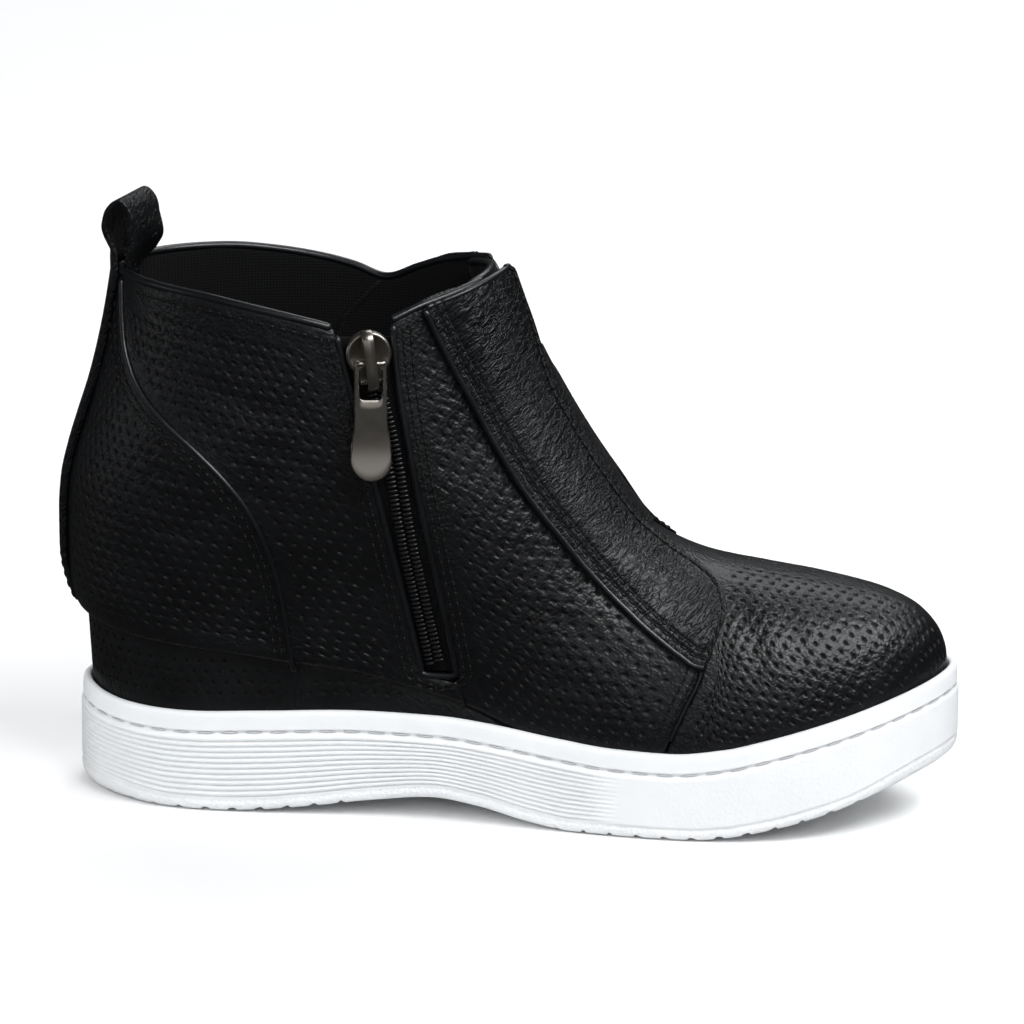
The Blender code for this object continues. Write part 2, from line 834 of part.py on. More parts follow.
def wedge_solid():
    """The wedge: its foot fills the cup, its top carries the rear of the upper, and it thins out forwards."""
    top_edges = edges_of(inset(feather_ring(), WEDGE_INSET))
    share = 1 - np.cos(np.linspace(0, math.pi / 2, WEDGE_STATIONS + 1))
    rings = [[], [], [], []]
    for side, order in ((-1, share), (1, share[:0:-1])):
        for t in order:
            x = top_edges[0][0, 0] + (WEDGE_FRONT - top_edges[0][0, 0]) * t
            foot = cup_edges[0][0, 0] + 0.1 + (WEDGE_FRONT - cup_edges[0][0, 0] - 0.1) * t
            top, low = float(wedge_top(x)), float(cup_floor(foot)) + GAP
            wide = edge_y(top_edges, x, side) if t else top_edges[0][0, 1]
            cup = edge_y(cup_edges, foot, side) if t else cup_edges[0][0, 1]
            soft = 0.9 * min(1.0, (top - low) / 5)
            edge = min(top - 1.3, max(low + 0.8, float(sole_top(foot)) + 0.5))
            rings[0].append((x, wide - np.sign(wide) * 1.0, top))
            rings[1].append((x, wide, top - soft))
            rings[2].append((foot, cup, edge))
            rings[3].append((foot, cup, low))
    return ring_solid([np.array(r) for r in rings], mirror_pairs(len(rings[0])))


def insole_solid():
    """The insole: a sheet inside the upper, on the wedge and the cup floor."""
    edges = edges_of(inset(feather_ring(), INSOLE_INSET))
    plan = even_ring(edges, edges[0][0, 0], edges[0][-1, 0], 36)
    low = feather(plan[:, 0]) + 0.15
    rings = [
        np.column_stack([plan, low + INSOLE_THICKNESS]),
        np.column_stack([plan, low]),
    ]
    return ring_solid(rings, mirror_pairs(len(plan)))


def slider_frame():
    """Middle of the zip slider on the surface, with its across, down and outward directions."""
    x = float(curve(CHAIN)(SLIDER_Z))
    step = 2.0
    spot = surface(x, SLIDER_Z, -1)
    ahead = surface(x + step, SLIDER_Z, -1) - surface(x - step, SLIDER_Z, -1)
    above = surface(x, SLIDER_Z + step, -1) - surface(x, SLIDER_Z - step, -1)
    out = np.cross(ahead, above)
    out /= np.linalg.norm(out)
    level = np.array([ahead[0], ahead[1], 0.0])
    level -= out * level.dot(out)
    level /= np.linalg.norm(level)
    down = np.cross(level, out) * -1
    if down[2] > 0:
        down = -down
    return spot, level, down, out


parts = bpy.data.collections.new("wedge_sneaker")
cutters = bpy.data.collections.new("cutters")
bpy.context.scene.collection.children.link(parts)
bpy.context.scene.collection.children.link(cutters)
cutters.hide_render = True


def material(name, colour, rough, metal=0.0):
    made = bpy.data.materials.new(name)
    made.use_nodes = True
    shader = made.node_tree.nodes["Principled BSDF"]
    shader.inputs["Base Color"].default_value = (*colour, 1.0)
    shader.inputs["Roughness"].default_value = rough
    shader.inputs["Metallic"].default_value = metal
    return made


def add_object(name, points, faces, made_of, shift, thickness=None, helper=False):
    """A mesh object from millimetre points; a thickness is grown inwards by Solidify."""
    mesh = bpy.data.meshes.new(name)
    mesh.from_pydata([tuple(p) for p in (np.array(points, float) + shift) * MM], [], faces)
    mesh.validate()
    made = bpy.data.objects.new(name, mesh)
    (cutters if helper else parts).objects.link(made)
    if helper:
        made.hide_render = True
        made.display_type = "WIRE"
    if thickness is not None:
        wall = made.modifiers.new("wall", "SOLIDIFY")
        wall.thickness = thickness * MM
        wall.offset = -1.0
        wall.use_even_offset = False
        wall.use_quality_normals = True
    else:
        shape = bmesh.new()
        shape.from_mesh(mesh)
        bmesh.ops.recalc_face_normals(shape, faces=shape.faces)
        shape.to_mesh(mesh)
        shape.free()
    mesh.materials.append(made_of)
    return made


def join_cut(target, other, operation):
    step = target.modifiers.new(other.name, "BOOLEAN")
    step.operation = operation
    step.solver = "EXACT"
    step.object = other


def prism(outline_points, low, high):
    """Points and faces of a plate: a plan outline in (across, down) raised from low to high."""
    count = len(outline_points)
    points = [(a, b, low) for a, b in outline_points] + [(a, b, high) for a, b in outline_points]
    faces = [list(range(count))[::-1], list(range(count, 2 * count))]
    faces += [[i, (i + 1) % count, count + (i + 1) % count, count + i] for i in range(count)]
    return np.array(points, float), faces


def arc_points(centre, radius, start, stop, count):
    turn = np.linspace(start, stop, count)
    return [(centre[0] + radius * math.cos(t), centre[1] + radius * math.sin(t)) for t in turn]


def slider_outline():
    round_top = arc_points((0, 0), SLIDER_RADIUS, math.radians(40), math.radians(-220), 23)
    foot = [(-4.4, SLIDER_FOOT - 1.5), (-3.4, SLIDER_FOOT), (3.4, SLIDER_FOOT), (4.4, SLIDER_FOOT - 1.5)]
    return round_top + foot


def bail_outline():
    """Side profile of the bail in (down, out): an arch with both feet in the slider."""
    low, high = BAIL_REACH
    foot = SLIDER_TOP - 0.6
    outer = [(low, foot), (low, 3.6), (low + 0.8, 5.0), (low + 2.4, BAIL_HEIGHT)]
    outer += [(high - 2.4, BAIL_HEIGHT), (high - 0.8, 5.0), (high, 3.6), (high, foot)]
    t = BAIL_THICK
    inner = [(high - t, foot), (high - t, 3.4), (high - t - 0.5, 4.2)]
    inner += [(high - 2.6 - t * 0.4, BAIL_HEIGHT - t), (low + 2.6 + t * 0.4, BAIL_HEIGHT - t)]
    inner += [(low + t + 0.5, 4.2), (low + t, 3.4), (low + t, foot)]
    return outer + inner


def tab_outline():
    centre = TAB_LENGTH - TAB_ROUND
    round_end = arc_points((0, centre), TAB_ROUND, math.radians(-25), math.radians(205), 19)
    neck = [(-TAB_NECK, centre - 9.0), (-TAB_NECK, 0.3), (-TAB_NECK + 0.8, -0.5)]
    return [(TAB_NECK - 0.8, -0.5), (TAB_NECK, 0.3), (TAB_NECK, centre - 9.0)] + round_end + neck


def window_outline():
    low, high = BAR_RADIUS, WINDOW_LENGTH
    corners = [(-WINDOW_HALF, low), (WINDOW_HALF, low), (WINDOW_HALF, high - 1.2)]
    corners += [(WINDOW_HALF - 1.0, high), (-WINDOW_HALF + 1.0, high), (-WINDOW_HALF, high - 1.2)]
    return corners


def placed(points, spot, across, down, out):
    """Local (across, down, out) points brought into the shoe's frame."""
    p = np.array(points, float)
    return spot + p[:, :1] * across + p[:, 1:2] * down + p[:, 2:3] * out


def bounds_of(groups):
    stack = np.vstack(groups)
    return stack.min(axis=0), stack.max(axis=0)


def build():
    white = material("white_rubber", (0.86, 0.86, 0.85), 0.5)
    cover = material("black_wedge_cover", (0.012, 0.012, 0.013), 0.5)
    leather = material("black_grained_leather", (0.014, 0.014, 0.015), 0.45)
    smooth_leather = material("black_smooth_leather", (0.016, 0.016, 0.017), 0.38)
    lining = material("black_lining", (0.01, 0.01, 0.01), 0.9)
    tape_cloth = material("black_zip_tape", (0.01, 0.01, 0.01), 0.85)
    coil = material("black_zip_coil", (0.012, 0.012, 0.012), 0.35)
    gunmetal = material("gunmetal", (0.18, 0.17, 0.16), 0.3, 1.0)

    rings = sole_rings()
    count = len(rings[0])
    sole_points, sole_faces = ring_solid(rings, mirror_pairs(count))
    wedge_points, wedge_faces = wedge_solid()
    insole_points, insole_faces = insole_solid()
    upper = upper_patch()
    tongue = grid_patch(over_ridge(TONGUE_TOP, TONGUE_END, TONGUE_HALF, 15, 9, TONGUE_OUT))
    bridge = grid_patch(over_ridge(BRIDGE_TOP, BRIDGE_END, BRIDGE_HALF, 12, 9, BRIDGE_OUT))
    flaps = {"flap_medial": grid_patch(flap_rows(-1)), "flap_lateral": grid_patch(flap_rows(1))}
    strap = grid_patch(strap_rows())
    rear, front = curve(ZIP_REAR), curve(ZIP_FRONT)
    tape_top = float(rim(-45.0)) - 3.5
    tape_edges = (lambda z: rear(z) - TAPE_REACH, lambda z: front(z) + TAPE_REACH)
    tape = grid_patch(zip_rows(TAPE_FOOT, tape_top, *tape_edges, 13, 6, TAPE_OUT))
    middle = curve(CHAIN)
    chain_edges = (lambda z: middle(z) - CHAIN_HALF, lambda z: middle(z) + CHAIN_HALF)
    chain = grid_patch(zip_rows(CHAIN_FOOT, CHAIN_TOP, *chain_edges, 14, 3, CHAIN_OUT))
    strap_back = np.array(strap.points) - (STRAP_THICK / 2, 0.0, 0.0)
    low, high = bounds_of([sole_points, np.array(upper.points), strap_back])
    shift = np.array([-(low[0] + high[0]) / 2, -(low[1] + high[1]) / 2, 0.0])

    sole = add_object("cupsole", sole_points, sole_faces, white, shift)
    for n, x in enumerate(TREAD_CUTS):
        box = [(x - TREAD_WIDTH / 2, -70.0), (x + TREAD_WIDTH / 2, -70.0)]
        box += [(x + TREAD_WIDTH / 2, 70.0), (x - TREAD_WIDTH / 2, 70.0)]
        points, faces = prism(box, -5.0, TREAD_DEPTH)
        cut = add_object(f"tread_cut_{n}", points, faces, white, shift, helper=True)
        join_cut(sole, cut, "DIFFERENCE")
    add_object("wedge", wedge_points, wedge_faces, cover, shift)
    add_object("insole", insole_points, insole_faces, lining, shift)
    add_object("upper", upper.points, upper.faces, leather, shift, WALL)
    add_object("tongue", tongue.points, tongue.faces, leather, shift, TONGUE_THICK)
    add_object("bridge", bridge.points, bridge.faces, smooth_leather, shift, BRIDGE_THICK)
    for name, patch in flaps.items():
        add_object(name, patch.points, patch.faces, smooth_leather, shift, FLAP_THICK)
    strap_object = add_object("heel_strap", strap.points, strap.faces, smooth_leather, shift, STRAP_THICK)
    strap_object.modifiers["wall"].offset = 0.0
    add_object("zip_tape", tape.points, tape.faces, tape_cloth, shift, TAPE_THICK)
    add_object("zip_chain", chain.points, chain.faces, coil, shift, CHAIN_THICK)

    spot, level, down, out = slider_frame()
    lean_across = level * math.cos(SLIDER_LEAN) - down * math.sin(SLIDER_LEAN)
    lean_down = down * math.cos(SLIDER_LEAN) + level * math.sin(SLIDER_LEAN)
    points, faces = prism(slider_outline(), SLIDER_LOW, SLIDER_TOP)
    points = placed(points, spot, lean_across, lean_down, out)
    slider = add_object("zip_slider", points, faces, gunmetal, shift)
    points, faces = prism(bail_outline(), -BAIL_HALF, BAIL_HALF)
    points = placed(points[:, [2, 0, 1]], spot, lean_across, lean_down, out)
    bail = add_object("bail", points, faces, gunmetal, shift, helper=True)
    join_cut(slider, bail, "UNION")

    axis = spot + lean_down * AXIS_DOWN + out * AXIS_OUT
    points, faces = prism(tab_outline(), -TAB_THICK / 2, TAB_THICK / 2)
    tab = add_object("zip_pull", placed(points, axis, level, down, out), faces, gunmetal, shift)
    points, faces = prism(window_outline(), -4.0, 4.0)
    points = placed(points, axis, level, down, out)
    window = add_object("tab_window", points, faces, gunmetal, shift, helper=True)
    join_cut(tab, window, "DIFFERENCE")
    bar = arc_points((0, 0), BAR_RADIUS, 0, 2 * math.pi * 15 / 16, 16)
    points, faces = prism(bar, -TAB_NECK + 0.4, TAB_NECK - 0.4)
    points = placed(points[:, [2, 0, 1]], axis, level, down, out)
    crossbar = add_object("crossbar", points, faces, gunmetal, shift, helper=True)
    join_cut(tab, crossbar, "UNION")
    origin = Vector((axis + shift) * MM)
    tab.data.transform(Matrix.Translation(-origin))
    tab.location = origin
    for helper in (window, crossbar):
        helper.data.transform(Matrix.Translation(-origin))
        helper.location = origin
    print("shift", np.round(shift, 3), "axis", np.round((axis + shift) * MM, 6), "level", np.round(level, 5))


build()
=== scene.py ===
# %% [markdown]
# # A wedge sneaker, piece by piece
#
# This lesson dresses a left ankle sneaker: a white cup sole, a hidden wedge, a black upper of perforated
# grained leather, two front flaps with a panel between them, a heel strap with a pull loop, and a side zip.
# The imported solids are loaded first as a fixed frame. They say where every piece goes, so each soft solid
# can be replaced by a finer piece in the same place, with no fitting by eye.

# %% Load the frame
import math

import bpy
import numpy as np
from mathutils import Matrix, Vector


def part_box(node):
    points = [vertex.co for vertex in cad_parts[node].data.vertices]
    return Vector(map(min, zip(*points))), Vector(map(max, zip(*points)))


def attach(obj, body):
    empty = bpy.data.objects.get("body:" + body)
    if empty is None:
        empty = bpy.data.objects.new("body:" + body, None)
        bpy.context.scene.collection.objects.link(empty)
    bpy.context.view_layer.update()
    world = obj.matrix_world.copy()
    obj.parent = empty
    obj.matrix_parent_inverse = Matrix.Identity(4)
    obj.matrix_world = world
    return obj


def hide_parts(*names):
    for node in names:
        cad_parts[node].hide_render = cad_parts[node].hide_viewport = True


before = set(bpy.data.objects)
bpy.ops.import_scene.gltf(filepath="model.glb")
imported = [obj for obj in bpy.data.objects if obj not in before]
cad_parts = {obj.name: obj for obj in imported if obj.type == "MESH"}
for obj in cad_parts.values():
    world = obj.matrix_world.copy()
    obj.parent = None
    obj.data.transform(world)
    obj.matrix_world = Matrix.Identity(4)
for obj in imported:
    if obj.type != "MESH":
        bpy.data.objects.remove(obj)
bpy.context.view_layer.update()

# %% [markdown]
# A shoe is drawn round a last, the foot-shaped form that it is lasted on. All the sizes below are in
# millimetres in the last's own frame: +X to the toe, -Y to the inner side with the zip, +Z up from the
# floor. Side view curves and one plan outline are enough to describe it. They could be drawn as Bezier
# curves by hand, but tables of numbers are easier to check against the solids, which use the same ones.

# %% The last's tables
MM = 0.001
GAP = 0.3
OUTLINE = [(-133.5, 0.0), (-131.0, -11.0), (-125.0, -20.5), (-112.0, -29.8), (-95.0, -34.0), (-70.0, -34.6),
           (-40.0, -34.4), (-15.0, -36.0), (10.0, -40.0), (35.0, -44.5), (55.0, -46.0), (78.0, -44.6),
           (97.0, -40.0), (112.0, -32.5), (123.5, -22.5), (130.8, -12.0), (133.5, -2.5), (131.2, 7.5),
           (125.0, 18.0), (115.0, 28.5), (101.0, 38.0), (82.0, 45.5), (58.0, 50.0), (30.0, 51.0), (5.0, 48.0),
           (-20.0, 43.5), (-45.0, 40.0), (-70.0, 37.5), (-95.0, 35.0), (-112.0, 30.2), (-125.0, 20.5),
           (-131.0, 11.0)]
SOLE_BOTTOM = [(-134, 0.0), (-88, 0.0), (-75, 0.6), (-60, 2.2), (-40, 5.0), (-22, 6.8), (-8, 5.0), (8, 1.5),
               (20, 0.0), (56, 0.0), (66, 0.8), (80, 3.4), (95, 7.2), (109, 11.4), (120, 14.6), (134, 18.0)]
SOLE_TOP = [(-134, 33.0), (-118, 31.0), (-100, 30.5), (-75, 31.5), (-45, 32.7), (-20, 32.3), (-5, 31.0),
            (15, 28.4), (32, 26.8), (50, 26.4), (66, 28.2), (78, 31.0), (97, 36.0), (115, 41.0), (128, 44.4),
            (134, 46.0)]
WEDGE_TOP = [(-140, 56.6), (-132, 55.0), (-124, 53.3), (-112, 51.8), (-93, 50.0), (-76, 48.2), (-65, 46.6),
             (-45, 44.0), (-32, 40.5), (-22, 37.8), (-12, 34.8), (-3, 31.0), (6, 26.3), (14, 21.3),
             (140, 0.0)]
HEEL_BACK = [(48, -128.9), (54, -132.0), (58, -134.4), (64, -136.3), (74, -137.2), (85, -137.3), (95, -136.6),
             (105, -134.4), (115, -131.4), (125, -128.2), (135, -125.6), (147, -123.1), (160, -121.0),
             (170, -119.7)]
HEEL_ROUND = [(50, 37), (57, 38), (75, 45), (100, 55), (125, 61), (165, 63)]
RIM = [(-125, 160.6), (-117, 160.4), (-105, 160.0), (-92, 159.3), (-80, 157.8), (-68, 155.8), (-55, 153.0),
       (-45, 150.0), (-34, 154.4), (-26, 157.8), (-13, 161.4), (-4, 163.8), (5, 165.0)]
RIDGE = [(-6.0, 165.2), (0.0, 148.6), (5.0, 137.4), (15.0, 119.0), (25.0, 103.2), (35.0, 89.8), (40.5, 84.6),
         (46.5, 80.8), (57.0, 76.6), (72.0, 73.7), (91.0, 71.1), (110.6, 67.2), (120.4, 63.0), (125.3, 58.7),
         (128.3, 54.3), (129.7, 49.5), (130.0, 40.0)]
RIDGE_ROUND = [(-6, 60), (15, 60), (36, 58), (48, 54), (62, 52)]
SHAFT_HALF = [(-140, 39.5), (-50, 40.6), (0, 40.6), (30, 42.0), (50, 43.0)]
CENTRE_Y = [(-140, 0.0), (0, 0.0), (60, -0.5), (100, -2.0), (135, -2.5)]
RIM_WIDTH, CUP_DEPTH, QUARTER_INSET = 3.2, 7.0, 1.2
CUP_FROM, CUP_FULL, SHAFT_RISE, DOME_POWER, WALL = -70.0, -6.0, 70.0, 2.2, 2.2
HEEL_PLAN, SHAFT_END, SHAFT_FADE, DOME_FROM, DOME_RUN = -95.0, 20.0, 35.0, 42.0, 34.0
FRONT_END, CHUNK, FAR = 80.0, 4000, 1e9
print("tables of the last, with", len(OUTLINE), "points round the sole")


# %% Curves through the tables
def curve(table):
    """A smooth function through (position, value) rows that doesn't overshoot them."""
    x, y = np.array(table, float).T
    h = np.diff(x)
    d = np.diff(y) / h
    slope = np.zeros_like(y)
    slope[0], slope[-1] = d[0], d[-1]
    for i in range(1, len(x) - 1):
        if d[i - 1] * d[i] > 0:
            a, b = 2 * h[i] + h[i - 1], h[i] + 2 * h[i - 1]
            slope[i] = (a + b) / (a / d[i - 1] + b / d[i])

    def at(v):
        v = np.clip(v, x[0], x[-1])
        i = np.clip(np.searchsorted(x, v, side="right") - 1, 0, len(x) - 2)
        t = (v - x[i]) / h[i]
        rise = (3 - 2 * t) * t * t
        start = h[i] * slope[i] * t * (1 - t) ** 2
        end = h[i] * slope[i + 1] * t * t * (t - 1)
        return y[i] * (1 - rise) + y[i + 1] * rise + start + end

    return at


def spline(points, count, closed=False):
    """Points along a smooth curve through the given ones."""
    p = np.array(points, float)
    if closed:
        p = np.vstack([p[-1:], p, p[:2]])
    knot = np.r_[0, np.cumsum(np.sqrt(np.linalg.norm(np.diff(p, axis=0), axis=1)))]
    slope = np.gradient(p, knot, axis=0)
    t = np.linspace(knot[1], knot[-2], count) if closed else np.linspace(knot[0], knot[-1], count)
    i = np.clip(np.searchsorted(knot, t, side="right") - 1, 0, len(p) - 2)
    h = (knot[i + 1] - knot[i])[:, None]
    s = (t - knot[i])[:, None] / h
    rise = (3 - 2 * s) * s * s
    ends = p[i] * (1 - rise) + p[i + 1] * rise
    return ends + h * (slope[i] * s * (1 - s) ** 2 + slope[i + 1] * s * s * (s - 1))


def smooth(t):
    t = np.clip(t, 0, 1)
    return t * t * (3 - 2 * t)


def swell(q, power):
    """Share of the full width at depth q below a rounded edge; 1 from q = 1 on."""
    return (1 - (1 - np.clip(q, 0, 1)) ** power) ** (1 / power)


def unit(vectors):
    return vectors / np.linalg.norm(vectors, axis=-1, keepdims=True)


def run_of(path):
    """Distance along a path at each of its points."""
    return np.r_[0, np.cumsum(np.linalg.norm(np.diff(path, axis=0), axis=1))]


def inward_of(ring):
    """Directions to the inside of a closed plan curve that runs heel, inner side, toe, outer side."""
    ahead = unit(np.roll(ring, -1, axis=0) - np.roll(ring, 1, axis=0))
    return np.stack([-ahead[:, 1], ahead[:, 0]], axis=1)


def inset(ring, distance):
    """A closed plan curve moved inwards."""
    return ring + inward_of(ring) * distance


def edges_of(ring):
    """The inner and outer edges of a closed plan curve, each from heel to toe."""
    heel, toe = int(np.argmin(ring[:, 0])), int(np.argmax(ring[:, 0]))
    turned = np.roll(ring, -heel, axis=0)
    toe = (toe - heel) % len(ring)
    return turned[: toe + 1], np.vstack([turned[toe:], turned[:1]])[::-1]


def edge_y(edges, x, side):
    edge = edges[0] if side < 0 else edges[1]
    return np.interp(x, edge[:, 0], edge[:, 1])


outline = spline(OUTLINE, 1121, closed=True)[:-1]
outline_edges = edges_of(outline)
cup_edges = edges_of(inset(outline, RIM_WIDTH + GAP))
quarter_edges = edges_of(inset(outline, QUARTER_INSET))
sole_bottom, sole_top, wedge_top = curve(SOLE_BOTTOM), curve(SOLE_TOP), curve(WEDGE_TOP)
heel_back, heel_round, rim = curve(HEEL_BACK), curve(HEEL_ROUND), curve(RIM)
ridge = spline(RIDGE, 500)
ridge_round, shaft_half, centre_y = curve(RIDGE_ROUND), curve(SHAFT_HALF), curve(CENTRE_Y)
sole_corners = np.array(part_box("cupsole")) / MM
SHIFT = np.array([*((sole_corners[0] + sole_corners[1]) / 2
                    - np.r_[(outline.min(0) + outline.max(0)) / 2, 0])[:2], 0.0])
print("last frame to shoe frame", SHIFT.round(3))

# %% [markdown]
# The upper's surface is one function: for a point of the side view it gives the half width of the shoe.
# The foot's half width grows into the collar's, the heel closes as a round back, and the front closes over
# a ridge. A sculpted mesh could do this too, but a function gives the same place to every piece that lies
# on the upper, such as flaps, seams and stitches.

# %% The upper's surface
def cup_floor(x):
    return sole_top(x) - CUP_DEPTH


def feather(x):
    """Height of the upper's lower edge."""
    return np.maximum(wedge_top(x), cup_floor(x)) + GAP


def ridge_z(x):
    return np.interp(x, ridge[:, 0], ridge[:, 1])


front_line = ridge[ridge[:, 0] < FRONT_END]


def below_ridge(x, z):
    """Distance below the front centre line, and the ridge's x there, for side view points."""
    points = np.stack([np.ravel(x), np.ravel(z)], axis=1)
    away = np.empty(len(points))
    where = np.empty(len(points))
    for start in range(0, len(points), CHUNK):
        part = points[start:start + CHUNK]
        gap = ((part[:, None, :] - front_line[None]) ** 2).sum(axis=2)
        near = np.clip(gap.argmin(axis=1), 1, len(front_line) - 2)
        best = np.full(len(part), FAR)
        spot = np.zeros(len(part))
        for a, b in ((near - 1, near), (near, near + 1)):
            run = front_line[b] - front_line[a]
            t = np.clip(((part - front_line[a]) * run).sum(axis=1) / (run ** 2).sum(axis=1), 0, 1)
            foot = front_line[a] + run * t[:, None]
            d = np.linalg.norm(part - foot, axis=1)
            spot = np.where(d < best, foot[:, 0], spot)
            best = np.minimum(d, best)
        away[start:start + CHUNK] = best
        where[start:start + CHUNK] = spot
    return away.reshape(np.shape(x)), where.reshape(np.shape(x))


def foot_half(x, side):
    """Half width of the upper at its lower edge, from the centre line."""
    at = np.maximum(x, HEEL_PLAN)
    share = smooth((at - CUP_FROM) / (CUP_FULL - CUP_FROM))
    edge = edge_y(quarter_edges, at, side) * (1 - share) + edge_y(cup_edges, at, side) * share
    return np.maximum(np.abs(edge - centre_y(x)), 0.0)


def half_width(x, z, side):
    """Half width of the upper's outer surface at a point of its side view."""
    x, z = np.asarray(x, float), np.asarray(z, float)
    base = np.maximum(feather(x), sole_top(x))
    foot = foot_half(x, side)
    rise = smooth((z - base) / SHAFT_RISE) * (1 - smooth((x - SHAFT_END) / SHAFT_FADE))
    wide = foot + (shaft_half(x) - foot) * rise
    low, high = feather(x), ridge_z(x)
    drop = np.clip((high - z) / np.maximum(high - low, 1e-6), 0, 1)
    blend = smooth((x - DOME_FROM) / DOME_RUN)
    depth, spot = below_ridge(x, z)
    front = swell(depth / ridge_round(spot), 2.0) * (1 - blend) + swell(drop, DOME_POWER) * blend
    back = swell((x - heel_back(z)) / heel_round(z), 2.0)
    return wide * front * back


def surface(x, z, side):
    """A point of the upper's outer surface."""
    y = centre_y(x) + side * half_width(x, z, side)
    return np.stack(np.broadcast_arrays(x, y, z), axis=-1)


def outward(x, z, side, step=0.2):
    """Unit normal of the upper's outer surface, away from its centre line."""
    dx = (half_width(x + step, z, side) - half_width(x - step, z, side)) / (2 * step)
    dz = (half_width(x, z + step, side) - half_width(x, z - step, side)) / (2 * step)
    lean = side * (centre_y(x + step) - centre_y(x - step)) / (2 * step)
    return unit(np.stack([-dx - lean, np.full(np.shape(x), float(side)), -dz], axis=-1))


print("half width at the ball", half_width(np.array([60.0]), np.array([40.0]), -1).round(1), "mm")


# %% Places on the upper
def arc_depth(arc, z):
    """Distance forward of the heel's back at a distance along the collar from it."""
    r = heel_round(z)
    bent = np.minimum(arc, r * math.pi / 2)
    return r * (1 - np.cos(bent / r)) + (arc - bent)


def arc_of(x, z):
    r = heel_round(z)
    d = np.maximum(x - heel_back(z), 0)
    return np.where(d < r, r * np.arccos(1 - np.minimum(d, r) / r), r * math.pi / 2 + d - r)


def ridge_at(x):
    """Point and inward direction of the front centre line, in the side view."""
    i = int(np.clip(np.searchsorted(ridge[:, 0], x), 1, len(ridge) - 2))
    ahead = unit(ridge[i + 1] - ridge[i - 1])
    return np.array([x, ridge_z(x)]), np.array([ahead[1], -ahead[0]])


def front_depth(x, half):
    """Depth below the front centre line at which the surface reaches this half width."""
    share = np.minimum(half / shaft_half(x), 1)
    return ridge_round(x) * (1 - np.sqrt(1 - share ** 2))


collar_half = half_width(np.array([-80.0, -20.0]), np.array([150.0, 150.0]), -1)
print("half width of the collar", collar_half.round(1), "mm")

# %% [markdown]
# Leather is never one flat black. Seen close it has pebbles of about a millimetre, finer pores between them
# and a patchy shine. An image of leather could be wrapped on, but it would need UV maps on every panel, so
# cell and noise textures on object coordinates are used here. They drive bump and roughness at real scale.

# %% Helpers for finishes
def new_finish(name, colour, rough, metal=0.0):
    """A material with its Principled shader and its object coordinates, ready for more nodes."""
    made = bpy.data.materials.new(name)
    made.use_nodes = True
    tree = made.node_tree
    shader = tree.nodes["Principled BSDF"]
    shader.inputs["Base Color"].default_value = (*colour, 1.0)
    shader.inputs["Roughness"].default_value = rough
    shader.inputs["Metallic"].default_value = metal
    place = tree.nodes.new("ShaderNodeTexCoord").outputs["Object"]
    return made, tree, shader, place


def add(tree, kind, inputs, **settings):
    """One node, its settings, and its inputs as values or as sockets to link."""
    made = tree.nodes.new(kind)
    for key, value in settings.items():
        setattr(made, key, value)
    for key, value in inputs.items():
        if isinstance(value, bpy.types.NodeSocket):
            tree.links.new(value, made.inputs[key])
        else:
            made.inputs[key].default_value = value
    return made


def bump(tree, height, distance, strength, under=None):
    inputs = {"Height": height, "Distance": distance, "Strength": strength}
    if under is not None:
        inputs["Normal"] = under
    return add(tree, "ShaderNodeBump", inputs).outputs["Normal"]


def spread(tree, value, low, high, to_low, to_high):
    inputs = {"Value": value, "From Min": low, "From Max": high, "To Min": to_low, "To Max": to_high}
    return add(tree, "ShaderNodeMapRange", inputs).outputs["Result"]


def mixed(tree, share, first, second):
    made = add(tree, "ShaderNodeMix", {}, data_type="RGBA")
    tree.links.new(share, made.inputs[0])
    for socket, value in ((made.inputs[6], first), (made.inputs[7], second)):
        if isinstance(value, bpy.types.NodeSocket):
            tree.links.new(value, socket)
        else:
            socket.default_value = (*value, 1.0)
    return made.outputs[2]


def noise(tree, place, scale, detail=2.0, distortion=0.0):
    """The value of a noise texture at a place."""
    inputs = {"Vector": place, "Scale": scale, "Detail": detail, "Distortion": distortion}
    return add(tree, "ShaderNodeTexNoise", inputs).outputs["Fac"]


print("node helpers ready")


